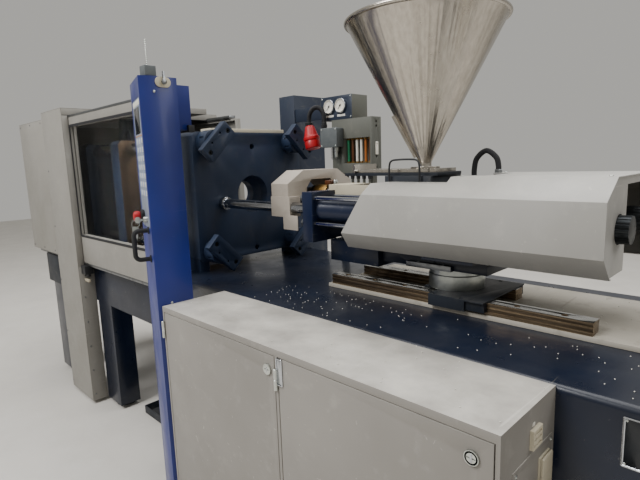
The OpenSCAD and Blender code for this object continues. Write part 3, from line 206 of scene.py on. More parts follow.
def clear_sheet(name, alpha):
    """Polycarbonate pane, scuffed in streaks and faintly smoky."""
    material, tree, shader, place = new_material(name, {
        "Transmission Weight": 1.0, "IOR": 1.1, "Alpha": alpha, "Base Color": linear("#c9d2d6")})
    haze = patches(tree, place, 6.0, 0.3, 0.8, 6.0, (1.0, 1.0, 0.3))
    tree.links.new(spread(tree, haze, 0.0, 1.0, 0.03, 0.16), shader.inputs["Roughness"])
    return material


MATERIALS = {}


def make_materials():
    """Every finish of the machine, by the name that the pieces use."""
    MATERIALS.update(
        navy=painted("Navy machine enamel", "#0d182c", "#0a1222", "#6d6a64", 0.24, 0.10,
                     grime=0.05, coat=0.12),
        platen=painted("Oily navy casting enamel", "#26334a", "#1d283a", "#4d4a45", 0.34, 0.35,
                       grime=0.3),
        column=painted("Ultramarine column enamel", "#1d2b78", "#172462", "#414b80", 0.3, 0.15,
                       grime=0.06, coat=0.12),
        grey=painted("Warm light grey powder coat", "#8f8c86", "#86837c", "#bdbab1", 0.42, 0.25,
                     300.0, 0.14),
        hood=painted("Scuffed grey cover paint", "#a7a5a1", "#9d9b96", "#d2cfc6", 0.38, 0.40,
                     300.0, 0.22),
        cabinet=painted("Light grey cabinet powder coat", "#8e8a84", "#85817b", "#d8d4ca", 0.38,
                        0.7, 300.0, 0.14),
        # Near-black painted shade for the fixed platen's side that faces the operator, which lies
        # in deep shadow; its grime patches are the only dirt on it
        shadow=painted("Painted shade on platen side", "#0b0f16", "#080b10", "#33312d", 0.5, 0.2,
                       grime=0.3),
        dark=painted("Dark grey frame paint", "#262b33", "#1c2027", "#6b675f", 0.45, 0.3),
        cylinder=painted("Cylinder blue enamel", "#101c36", "#0c162b", "#5a5a5c", 0.28, 0.25,
                         coat=0.15),
        beige=painted("Greyed beige guard paint", "#bbb2a6", "#aca397", "#6d6458", 0.45, 0.3,
                      grime=0.3),
        cream=painted("Worn cream sheet", "#cfc7b2", "#bdb49d", "#7c7260", 0.45, 0.3, grime=0.35),
        slate=painted("Slate blue post paint", "#252e3e", "#1e2635", "#6b6860", 0.45, 0.3),
        services=painted("Grey-green frame paint", "#5f6059", "#53554f", "#8a867b", 0.5, 0.3),
        pad=painted("Speckled pale pad", "#b3ada1", "#9f998c", "#5e574b", 0.5, 0.3, 420.0, 0.55),
        forging=painted("Toggle link paint", "#2c323c", "#20252d", "#4f4a42", 0.42, 0.3),
        steel=metal("Ground steel under oil", "#8f9193", "#737577", 0.3, "x"),
        turned=metal("Turned steel drum", "#d2d5d0", "#b6bab5", 0.32, "none", 30.0, 0.12,
                     "#5c5f58", 12.0, 0.1),
        chrome=metal("Hard chromed rod", "#c8cbd0", "#aeb1b6", 0.08, "x", 700.0, 0.12),
        bright=metal("Polished rail top", "#d3d3d1", "#b4b3b0", 0.16, "x", 300.0, 0.25, "#5b4a38"),
        rail=metal("Greased ground rail", "#a8957b", "#56483a", 0.34, "x", 260.0, 0.45, "#33291f"),
        rust=metal("Rust-stained milled platen face", "#6f5f4e", "#57493b", 0.5, "z", 200.0, 0.5,
                   "#3d2f23", 14.0),
        hopper=metal("Brushed stainless hopper", "#bdb7ad", "#aaa399", 0.24, "z", 90.0, 0.16,
                     "#7d766b", 5.0, 0.12),
        casting=metal("Oily cast nuts", "#3b3e40", "#26282a", 0.4, "x", 90.0, 0.4, "#15130f"),
        brass=metal("Tarnished brass band", "#b89455", "#8c6d3a", 0.35, "x", 300.0, 0.5),
        black=moulded("Black moulded plastic", "#17181a", "#242528", 0.45),
        rubber=moulded("Dull black rubber", "#1a1a1b", "#26262a", 0.7, 400.0),
        greyplastic=moulded("Grey moulded plastic", "#5d6263", "#505557", 0.5),
        red=moulded("Red moulded plastic", "#b3121d", "#930d16", 0.3),
        green=moulded("Green flow tube", "#1f7a53", "#145e3e", 0.25),
        brown=moulded("Brown flow tube", "#5a3520", "#42260f", 0.25),
        orange=moulded("Amber flow tube", "#a8622a", "#8a4d1c", 0.25),
        white=moulded("White moulded plastic", "#dedcd3", "#cfccc2", 0.35),
        keypad=moulded("Pale blue key film", "#9fb0cc", "#8496b8", 0.4),
        film=moulded("Silver-blue panel film", "#8a93a3", "#7b8494", 0.35),
        screen=moulded("Dark display window", "#0c1014", "#10161c", 0.08),
        amber=moulded("Amber lamp", "#d08a1c", "#b87412", 0.2),
        dial=moulded("White enamelled dial", "#f2eee2", "#e6e2d6", 0.35),
        pane=clear_sheet("Scuffed clear pane", 0.05),
        glass=clear_sheet("Clear cap plastic", 0.3),
    )


def by_word(table):
    """The table turned round: each word of a value leads to that value's key."""
    return {word: key for key, words in table.items() for word in words.split()}


# The finishes, each with the CAD nodes that have it
NODE_FINISH = by_word({
    "navy": "clamp_base injection_bed unit_base",
    "platen": "fixed_platen tie_bar_nuts rear_platen moving_platen",
    "cylinder": "clamp_cylinder pull_in_cylinders",
    "column": "control_column",
    "slate": "gauge_box rear_column",
    "dark": "floor_tray carriage_saddle feed_housing hydraulic_motor",
    "services": "cooling_manifold",
    "grey": "clamp_covers front_gate rear_gate",
    "cabinet": "electrical_cabinet left_door right_door",
    "hood": "injection_cover",
    "beige": "nozzle_guard",
    "cream": "socket_lid",
    "forging": "rear_link_upper rear_link_lower front_link_upper front_link_lower",
    "steel": "gate_rails cross_link_upper cross_link_lower crosshead ejector_rod barrel nozzle "
             "screw toggle_lever",
    "chrome": "tie_bars pull_in_rods",
    "rail": "slide_rails",
    "turned": "swivel_drum left_lock right_lock key_switch",
    "hopper": "hopper_slide hopper",
    "brass": "heater_bands",
    "black": "levelling_feet limit_switch gauge_needle_left gauge_needle_right",
    "film": "control_panel",
    "green": "flow_tubes",
    "dial": "pressure_gauges",
    "greyplastic": "junction_box",
    "red": "red_connector emergency_stop",
    "pane": "gate_window",
})

# Parts of CAD nodes that have another finish: lowest and highest face centre, and the finish
FAR = 9999
FACE_FINISH = {
    "moving_platen": [((-629, -FAR, -FAR), (-627.5, FAR, FAR), "rust")],
    "clamp_covers": [((-1561, -471, -586), (-1225.1, 471, -399), "dark"),
                     ((29, -205, 290), (113, 229, 309), "cream")],
    "injection_bed": [((744, -127, -334.9), (2341, 301, -320), "pad")],
    "slide_rails": [((0, -FAR, -285.5), (FAR, FAR, -284.5), "bright")],
    "gauge_box": [((555, 0, 0), (557, FAR, FAR), "services")],
    "pull_in_rods": [((199, -FAR, -FAR), (227, FAR, FAR), "casting")],
    # The fixed platen's side that faces the operator gets near-black painted shade
    "fixed_platen": [((-1, -FAR, -FAR), (FAR, -330, FAR), "shadow")],
    "electrical_cabinet": [((1697.7, -575, -562), (FAR, -458, -380), "cream")],
    "feed_housing": [((699, -63, -16), (998, 63, 55), "cream")],
    "unit_base": [((1109, -131, -207), (1263, 131, -188), "steel")],
    "hydraulic_motor": [((1500, -FAR, -95), (1541, FAR, 64), "steel"),
                        ((0, 60, -93), (1500, 170, 13), "chrome"),
                        ((0, -170, -93), (1500, -60, 13), "chrome"),
                        ((1541, -FAR, -FAR), (FAR, FAR, FAR), "casting")],
}
# Parts with a hair-thin ring in a bore, which joining the flat faces would close
UNJOINED = {"fixed_platen"}

# Faces of the CAD parts that the pieces sit on
COLUMN_SIDE_X = 474.1
COVER_SIDE_Y = 500.0
TOWER_END_X = -890.0
DOOR_Y = -683.1
CABINET_END_X = 1696.1
BED_SIDE_Y = -425.1
GAUGE_BOX_Y = 250.0
DECK_Z, PAD_Z = -335.0, -321.0
CYLINDER_END_X = 726.0
HOOD_TOP_Z = 89.0
PLATEN_BAR_X = 234.0
# Axes that the pieces share with the CAD
PULL_IN_Y, PULL_IN_Z, CYLINDER_TIE = 170.0, -31.0, 46.0
GAUGE_X, GAUGE_Z = (420, 491), 392
SERVICES_Y = 226.0
TIE_BAR = 242.5
# The operator's panel has its own axes: X along it from this corner, -Y out of it and Z up
PANEL_CORNER, PANEL_TURN = (458.0, -690.0, 0.0), -18.0
STOP_AT, KEY_AT = (-150.0, 0.0, -30.0), (-84.0, 0.0, -38.0)


def skin(points, loop=False):
    """Quads over points[ring, place]: each ring is closed, and its ends are capped or looped."""
    rings, count = points.shape[:2]
    first = np.arange(rings * count).reshape(rings, count)
    second = np.roll(first, -1, 0)
    quads = np.stack([first, second, np.roll(second, -1, 1), np.roll(first, -1, 1)], -1)
    if loop:
        return points.reshape(-1, 3), [quads.reshape(-1, 4)]
    return points.reshape(-1, 3), [quads[:-1].reshape(-1, 4), first[:1], first[-1:]]


def joined(*shells):
    """Several shells as one."""
    starts = np.cumsum([0] + [len(points) for points, _ in shells])
    faces = [rows + start for (_, kinds), start in zip(shells, starts) for rows in kinds]
    return np.concatenate([points for points, _ in shells]), faces


def copies(shell, places):
    """The shell moved to each place."""
    return joined(*[(shell[0] + np.array(place, float), shell[1]) for place in places])


def moved(shell, turn_deg, at):
    """The shell turned about Z and then moved."""
    c, s = math.cos(math.radians(turn_deg)), math.sin(math.radians(turn_deg))
    return shell[0] @ np.array([[c, s, 0], [-s, c, 0], [0, 0, 1]]) + np.array(at, float), shell[1]


def upended(shell):
    """The shell mirrored in Z."""
    return shell[0] * (1, 1, -1), shell[1]


def turned(profile, at=(0, 0, 0), axis="z", sides=32, loop=False):
    """Surface of revolution: (r cos a, r sin a, h) for each (h, r), with h along the axis."""
    height, radius = np.array(profile, float).T[:, :, None]
    angle = np.linspace(0, 2 * np.pi, sides, endpoint=False)[None, :]
    flat = (radius * np.cos(angle), radius * np.sin(angle), height + 0 * angle)
    order = {"x": (2, 0, 1), "y": (1, 2, 0), "z": (0, 1, 2)}[axis]
    return skin(np.stack([flat[i] for i in order], -1) + np.array(at, float), loop)


def corner_turns(steps):
    """Angles round four corners of so many steps each, and the sides that each of them is on."""
    quarter = np.linspace(0, np.pi / 2, steps + 1)
    turn = np.concatenate([quarter + k * np.pi / 2 for k in range(4)])
    east, north = (np.repeat(signs, steps + 1) for signs in ([1, -1, -1, 1], [1, 1, -1, -1]))
    return turn, east, north


def block(low, high, radius=1.0, steps=2):
    """Box whose corners are eighths of a sphere: centre + sign * (half - radius) + radius *
    (cos b cos a, cos b sin a, sin b)."""
    low, high = np.array(low, float), np.array(high, float)
    quarter = np.linspace(0, np.pi / 2, steps + 1)
    rise = np.concatenate([quarter - np.pi / 2, quarter])[:, None]
    turn, east, north = (row[None, :] for row in corner_turns(steps))
    up = np.repeat([-1, 1], steps + 1)[:, None]
    half, middle = (high - low) / 2 - radius, (high + low) / 2
    x = middle[0] + east * half[0] + radius * np.cos(rise) * np.cos(turn)
    y = middle[1] + north * half[1] + radius * np.cos(rise) * np.sin(turn)
    z = middle[2] + up * half[2] + radius * np.sin(rise) + 0 * turn
    return skin(np.stack([x, y, z], -1))


def rectangle(x, z, radius=4.0, steps=4):
    """Outline of a rectangle with round corners, counter-clockwise."""
    turn, east, north = corner_turns(steps)
    half = np.array([x[1] - x[0], z[1] - z[0]]) / 2 - radius
    return np.stack([(x[0] + x[1]) / 2 + east * half[0] + radius * np.cos(turn),
                     (z[0] + z[1]) / 2 + north * half[1] + radius * np.sin(turn)], -1)


def outward(line):
    """Outward unit directions at a closed counter-clockwise outline's points, longer at corners."""
    run = np.roll(line, -1, 0) - line
    run = run / np.linalg.norm(run, axis=1, keepdims=True)
    before = np.roll(run, 1, 0)
    total = before + run
    return np.stack([total[:, 1], -total[:, 0]], -1) / (1 + np.sum(run * before, 1, keepdims=True))


def swept(line, section, axis="y"):
    """A section of (outwards, along the axis) pairs led round an outline, as [section, outline]."""
    section = np.array(section, float)
    flat = line[None] + section[:, :1, None] * outward(line)[None]
    level = np.repeat(section[:, 1:, None], len(line), 1)
    order = {"x": (2, 0, 1), "y": (0, 2, 1), "z": (0, 1, 2)}[axis]
    return np.concatenate([flat, level], -1)[..., list(order)]


def slab(line, start, end, axis="y", edge=0.6):
    """Plate of the given outline from start to end along the axis, with its rims rounded off."""
    step = edge if end > start else -edge
    section = [(-edge, start), (-0.3 * edge, start + 0.3 * step), (0, start + step),
               (0, end - step), (-0.3 * edge, end - 0.3 * step), (-edge, end)]
    return skin(swept(np.array(line, float), section, axis))


def moulding(line, section, axis="y"):
    """Closed frame: a closed section led round the outline."""
    return skin(swept(np.array(line, float), section, axis), loop=True)


def curved(points, per=8):
    """Smooth line through the points (Catmull-Rom)."""
    p = np.array(points, float)
    p = np.vstack([2 * p[0] - p[1], p, 2 * p[-1] - p[-2]])
    t = np.linspace(0, 1, per, endpoint=False)[:, None, None]
    a, b, c, d = p[:-3], p[1:-2], p[2:-1], p[3:]
    q = 0.5 * (2 * b + (c - a) * t + (2 * a - 5 * b + 4 * c - d) * t ** 2
               + (3 * b - a - 3 * c + d) * t ** 3)
    return np.vstack([q.transpose(1, 0, 2).reshape(-1, 3), p[-2:-1]])


def tube(path, radius, sides=16):
    """Round tube: at each point of the path, which lies in one plane, a ring of radius * (cos a
    side + sin a up) across it; the radius may vary along the path."""
    path = np.array(path, float)
    run = np.gradient(path, axis=0)
    run /= np.linalg.norm(run, axis=1, keepdims=True)
    side = np.cross(run, np.linalg.svd(run)[2][2])
    side /= np.linalg.norm(side, axis=1, keepdims=True)
    up = np.cross(side, run)
    angle = np.linspace(0, 2 * np.pi, sides, endpoint=False)[None, :, None]
    radius = np.broadcast_to(radius, len(path))[:, None, None]
    return skin(path[:, None] + radius * (np.cos(angle) * side[:, None]
                                          + np.sin(angle) * up[:, None]))


def screw_head(radius, height, axis, sense=1, sides=16):
    """Domed head with a round socket, rising along the axis."""
    profile = [(0, radius), (0.55 * height, radius), (0.9 * height, 0.8 * radius),
               (height, 0.5 * radius), (0.4 * height, 0.42 * radius)]
    return turned([(sense * h, r) for h, r in profile], axis=axis, sides=sides)


def hexagon(radius, height, axis, sense=1):
    """Hexagon head with chamfered top."""
    profile = [(0, radius), (0.8 * height, radius), (height, 0.82 * radius)]
    return turned([(sense * h, r) for h, r in profile], axis=axis, sides=6)


def piece(name, body, finish, *shells):
    """One object from shells: welded, turned outwards, smooth up to 35 degrees, on a body."""
    points, faces = joined(*shells)
    mesh = bpy.data.meshes.new(name)
    mesh.from_pydata((points * MM).tolist(), [], [face for rows in faces for face in rows.tolist()])
    work = bmesh.new()
    work.from_mesh(mesh)
    bmesh.ops.remove_doubles(work, verts=work.verts, dist=2e-6)
    bmesh.ops.recalc_face_normals(work, faces=work.faces)
    work.to_mesh(mesh)
    work.free()
    mesh.shade_smooth()
    mesh.set_sharp_from_angle(angle=math.radians(35))
    mesh.materials.append(MATERIALS[finish])
    made = bpy.data.objects.new(name, mesh)
    bpy.context.scene.collection.objects.link(made)
    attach(made, body)
    return made


class MachineSettings(bpy.types.PropertyGroup):
    """Sizes that a user would change."""
    edge_radius: bpy.props.FloatProperty(
        name="Edge radius", description="Rounding of the CAD parts' sharp edges",
        default=0.0012, unit="LENGTH")
    pellets: bpy.props.IntProperty(
        name="Pellets", description="Spilled pellets on the deck and the cabinet", default=200)


def part_finishes(name, mesh):
    """Gives a CAD node its main finish and, on the faces that FACE_FINISH names, their own."""
    rules = FACE_FINISH.get(name, [])
    mesh.materials.clear()
    for finish in [NODE_FINISH[name]] + [rule[2] for rule in rules]:
        mesh.materials.append(MATERIALS[finish])
    centres = np.empty(3 * len(mesh.polygons), np.float32)
    mesh.polygons.foreach_get("center", centres)
    centres = centres.reshape(-1, 3) / MM
    slots = np.zeros(len(centres), np.int32)
    for number, (low, high, _) in enumerate(rules, 1):
        slots[np.all((centres >= low) & (centres <= high), axis=1)] = number
    mesh.polygons.foreach_set("material_index", slots)


def softened(name, part, radius):
    """Joins a CAD node's loose triangles and rounds its sharp edges, by modifiers alone."""
    if "custom_normal" in part.data.attributes:
        part.data.attributes.remove(part.data.attributes["custom_normal"])
    part.data.shade_smooth()
    part.modifiers.new("Join", "WELD").merge_threshold = 1e-6
    if name not in UNJOINED:
        flat = part.modifiers.new("Flat faces", "DECIMATE")
        flat.decimate_type, flat.angle_limit = "DISSOLVE", math.radians(1)
        flat.delimit = {"MATERIAL"}
    edge = part.modifiers.new("Edges", "BEVEL")
    edge.width, edge.segments, edge.limit_method = radius, 2, "ANGLE"
    edge.angle_limit = math.radians(40)
    part.modifiers.new("Creases", "EDGE_SPLIT").split_angle = math.radians(38)


class MACHINE_OT_finishes(bpy.types.Operator):
    """Gives every CAD part its finish, joins its loose triangles and rounds its sharp edges"""
    bl_idname = "machine.finishes"
    bl_label = "Finishes"

    def execute(self, context):
        make_materials()
        for name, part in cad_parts.items():
            part_finishes(name, part.data)
            softened(name, part, context.scene.machine.edge_radius)
        return {"FINISHED"}


def on_panel(*shells):
    """Shells from the operator's panel's own axes."""
    return moved(joined(*shells), PANEL_TURN, PANEL_CORNER)


class MACHINE_OT_controls(bpy.types.Operator):
    """Operator's panel with keys, grip, stop and key switch, and the fittings on the column"""
    bl_idname = "machine.controls"
    bl_label = "Controls"

    def execute(self, context):
        self.panel_face()
        self.grip()
        self.stop_button()
        self.keys()
        self.column_fittings()
        return {"FINISHED"}

    def panel_face(self):
        """Film plate with its keys, display, blank strip and lamps."""
        film = slab(rectangle((-198, -22), (-66, 378), 6), 4.8, 1.2)
        plate = piece("panel_plate", "machine", "film", on_panel(film))
        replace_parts(plate, "control_panel")
        first, pitch, rise = -42, 27, 30
        key = block((-9, 0.3, -9), (9, 1.6, 9), 1.2)
        for colour, finish, start in (("white", "white", 0), ("blue", "keypad", 1)):
            places = [(first - pitch * column, 0, 236 - rise * row)
                      for row in range(7) for column in range(start, 6, 2)]
            piece("panel_keys_" + colour, "machine", finish, on_panel(copies(key, places)))
        display = slab(rectangle((-172, -48), (260, 350), 3), 1.4, 0.2)
        piece("panel_display", "machine", "screen", on_panel(display))
        strip = slab(rectangle((-192, -28), (355, 372), 2), 1.4, 0.7)
        piece("panel_label_strip", "machine", "white", on_panel(strip))
        lamp = turned([(1.4, 2.6), (0.4, 2.6), (-0.6, 1.8), (-1.0, 0.6)], axis="y", sides=12)
        places = [(first - pitch * column, 0, 253) for column in range(6)]
        piece("panel_lamps", "machine", "amber", on_panel(copies(lamp, places)))

    def grip(self):
        """Bow handle: out of the panel, down in front of it and back, with round bends."""
        x, reach, inner, top, low = -60, 52.0, 18.0, -74.0, -176.0
        bend = np.linspace(0, np.pi / 2, 7)
        upper = np.stack([0 * bend + x, -(reach - inner) - inner * np.sin(bend),
                          top - inner + inner * np.cos(bend)], -1)
        lower = upper[::-1] * (1, 1, -1) + (0, 0, top + low)
        path = np.vstack([[(x, 0.5, top)], upper, lower, [(x, 0.5, low)]])
        foot = turned([(0, 13), (-3, 13), (-4.5, 11)], axis="y", sides=24)
        piece("panel_grip", "machine", "rubber", on_panel(
            tube(path, 8.0, 20), copies(foot, [(x, 0, top), (x, 0, low)])))

    def stop_button(self):
        """Emergency stop with its collar."""
        collar = turned([(4, 21), (-4, 24), (-9, 24), (-12, 20)], STOP_AT, "y", 40)
        piece("stop_collar", "machine", "black", on_panel(collar))
        head = turned([(6, 9), (-12, 9), (-14, 17), (-20, 19.6), (-28, 19.4), (-34, 17),
                       (-37.5, 11), (-38.5, 4)], STOP_AT, "y", 40)
        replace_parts(piece("stop_head", "emergency_stop", "red", on_panel(head)), "emergency_stop")

    def keys(self):
        """Key switch with a key in it, and a ring with two more keys."""
        barrel = turned([(4.5, 10.6), (-9, 10.6), (-12, 9.5), (-12, 4)], KEY_AT, "y", 32)
        turn = np.linspace(0, 2 * np.pi, 33)[:-1]
        ring = np.stack([0 * turn, -40 + 13 * np.cos(turn), -13 + 13 * np.sin(turn)], -1)
        across = (ring - ring.mean(0)) / 13
        section = np.linspace(0, 2 * np.pi, 9)[:-1][None, :, None]
        wire = skin(ring[:, None] + 1.1 * (np.cos(section) * across[:, None]
                                           + np.sin(section) * np.array((1.0, 0, 0))), loop=True)
        bow = slab(rectangle((-9, 9), (-11, 11), 7), -1.2, 1.2, "x", 0.4)
        shank = block((-1.2, -26, -3.5), (1.2, -11, 3.5), 0.5)
        spare = joined(slab(rectangle((-10, 8), (-45, -24), 6), -1.1, 1.1, "x", 0.4),
                       block((-1.1, -4, -64), (1.1, 2.5, -44), 0.5))
        second = joined(slab(rectangle((-9, 9), (-43, -22), 7), -1.1, 1.1, "x", 0.4),
                        block((-1.1, -3, -60), (1.1, 3, -42), 0.5))
        bunch = joined(shank, copies(bow, [(0, -31, 0)]), wire, copies(spare, [(3.2, -38, 0)]),
                       copies(second, [(-3.2, -43, 0)]))
        keys = joined(barrel, copies(bunch, [KEY_AT]))
        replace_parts(piece("key_and_ring", "key_switch", "turned", on_panel(keys)), "key_switch")

    def column_fittings(self):
        """Oval escutcheon, limit box with its beaded rod, and the screws of the column's side."""
        turn = np.linspace(0, np.pi, 13)
        right = np.stack([11 + 17 * np.sin(turn), -17 * np.cos(turn)], -1)
        plate = slab(np.vstack([right, -right]), COLUMN_SIDE_X, 478, "x", 0.8)
        boss = turned([(478, 8.5), (479.4, 8.5), (480, 7.5), (480, 5.3)], axis="x", sides=24)
        piece("selector_plate", "machine", "cream", copies(joined(plate, boss), [(0, -612, 424)]))
        box = block((430, -668, 442.1), (468, -628, 476), 2.5, 3)
        piece("aerial_box", "machine", "greyplastic", box)
        height = np.linspace(476, 562, 173)
        radius = 1.2 + 1.5 * np.abs(np.sin(np.pi * (height - 476) / 6.0))
        beads = turned(np.stack([height, radius], -1), (450, -650, 0), "z", 16)
        piece("aerial_beads", "machine", "turned", beads)
        places = [(COLUMN_SIDE_X, -645, z) for z in (392, -330, -1150)]
        piece("column_screws", "machine", "turned", copies(screw_head(4.5, 2.4, "x"), places))


class MACHINE_OT_guards(bpy.types.Operator):
    """Window gasket, sheet screws and seam of the clamp covers, and the limit switches' caps"""
    bl_idname = "machine.guards"
    bl_label = "Guards"

    def execute(self, context):
        gasket = [(-2, -461), (-3, -464.5), (8, -465.5), (11, -463.6), (11, -462.4), (0, -462.4)]
        opening = rectangle((-885, 25), (-225, 378), 10, 5)
        piece("window_gasket", "front_gate", "rubber", moulding(opening, gasket))
        radius, height = 5.0, 2.6
        rows = [(-1209, z) for z in range(-1190, 470, 332)]
        rows += [(x, z) for z in (-350, 424) for x in range(-1680, -1240, 210)]
        near = copies(screw_head(radius, height, "y", -1), [(x, -COVER_SIDE_Y, z) for x, z in rows])
        far = copies(screw_head(radius, height, "y"), [(x, COVER_SIDE_Y, z) for x, z in rows])
        piece("cover_screws", "machine", "steel", near, far)
        places = [(TOWER_END_X, y, z) for y in (-480, 480) for z in range(-1190, -420, 150)]
        end = copies(screw_head(radius, height, "x"), places)
        piece("tower_screws", "machine", "steel", end)
        cap = turned([(0, 12), (3, 12), (5, 10.5), (14, 10), (16, 8.5)], sides=24)
        switches = [(-872, -464), (-842, -464)]
        piece("switch_caps", "machine", "cream",
              copies(upended(cap), [(x, y, -478) for x, y in switches]))
        rod = turned([(-496, 4), (-494, 5), (-478, 5)], sides=16)
        piece("switch_rods", "machine", "brass", copies(rod, [(x, y, 0) for x, y in switches]))
        seam = block((TOWER_END_X - 0.4, -497, 439), (TOWER_END_X + 0.6, 497, 441.5), 0.4, 1)
        piece("tower_seam", "machine", "black", seam)
        return {"FINISHED"}


class MACHINE_OT_cabinet(bpy.types.Operator):
    """Locks, latch, hinges, rating plate and sockets of the electrical cabinet and bed"""
    bl_idname = "machine.cabinet"
    bl_label = "Cabinet"

    def execute(self, context):
        lock = turned([(DOOR_Y, 15), (-686.5, 15), (-688, 13.5), (-688, 10), (-685.6, 9.4),
                       (-685.6, 3)], (1643, 0, -398), "y", 32)
        bar = block((1640.8, -689, -407), (1645.2, -685, -389), 0.6)
        piece("right_lock_face", "right_lock", "chrome", lock, bar)
        lock = turned([(DOOR_Y, 13), (-686, 13), (-687.5, 11.5), (-687.5, 8), (-685.2, 7.4),
                       (-685.2, 3)], (1051, 0, -398), "y", 32)
        bar = block((1049, -688.4, -406), (1053, -684.8, -390), 0.6)
        piece("left_lock_face", "left_lock", "chrome", lock, bar)
        rim = [(0, DOOR_Y), (0, -685.8), (-1.2, -687), (-3.4, -687), (-4.2, -685.2),
               (-4.2, DOOR_Y)]
        piece("door_latch", "right_door", "chrome",
              moulding(rectangle((1088, 1112), (-432, -356), 3), rim),
              slab(rectangle((1092.5, 1107.5), (-427, -361), 2), DOOR_Y, -685.6))
        self.rating_plate()
        pan = screw_head(4.2, 2.2, "x")
        piece("socket_screws", "machine", "turned",
              copies(pan, [(1697.4, y, z) for y in (-620, -447) for z in (-612, -446)]))
        piece("bare_tags", "machine", "white",
              *[slab(rectangle((y, y + 12), (z, z + 7), 1), CABINET_END_X, 1697.0, "x", 0.2)
                for y, z in ((-545, -378), (-500, -458))])
        hinge = turned([(-30, 5), (-29, 6), (-1, 6), (0, 5), (1, 6), (29, 6), (30, 5)], sides=20)
        piece("door_hinges", "machine", "turned",
              copies(hinge, [(x, -686.5, z) for x in (478, 1086) for z in (-1070, -417)]))
        return {"FINISHED"}

    def rating_plate(self):
        """Bare dark plate with a silver edge and a rivet in each corner."""
        outline = rectangle((1822, 1952), (-462, -358), 3)
        edge = [(0, BED_SIDE_Y), (0, -427.4), (-3, -427.9), (-4.5, -426.6), (-4.5, BED_SIDE_Y)]
        plate = slab(outline, BED_SIDE_Y, -426.6, "y", 0.4)
        piece("rating_plate", "machine", "screen", plate)
        piece("rating_plate_edge", "machine", "chrome", moulding(outline, edge))
        rivet = screw_head(2.4, 1.6, "y", -1, 12)
        piece("rating_plate_rivets", "machine", "turned",
              copies(rivet, [(x, -426.4, z) for x in (1829, 1945) for z in (-455, -365)]))


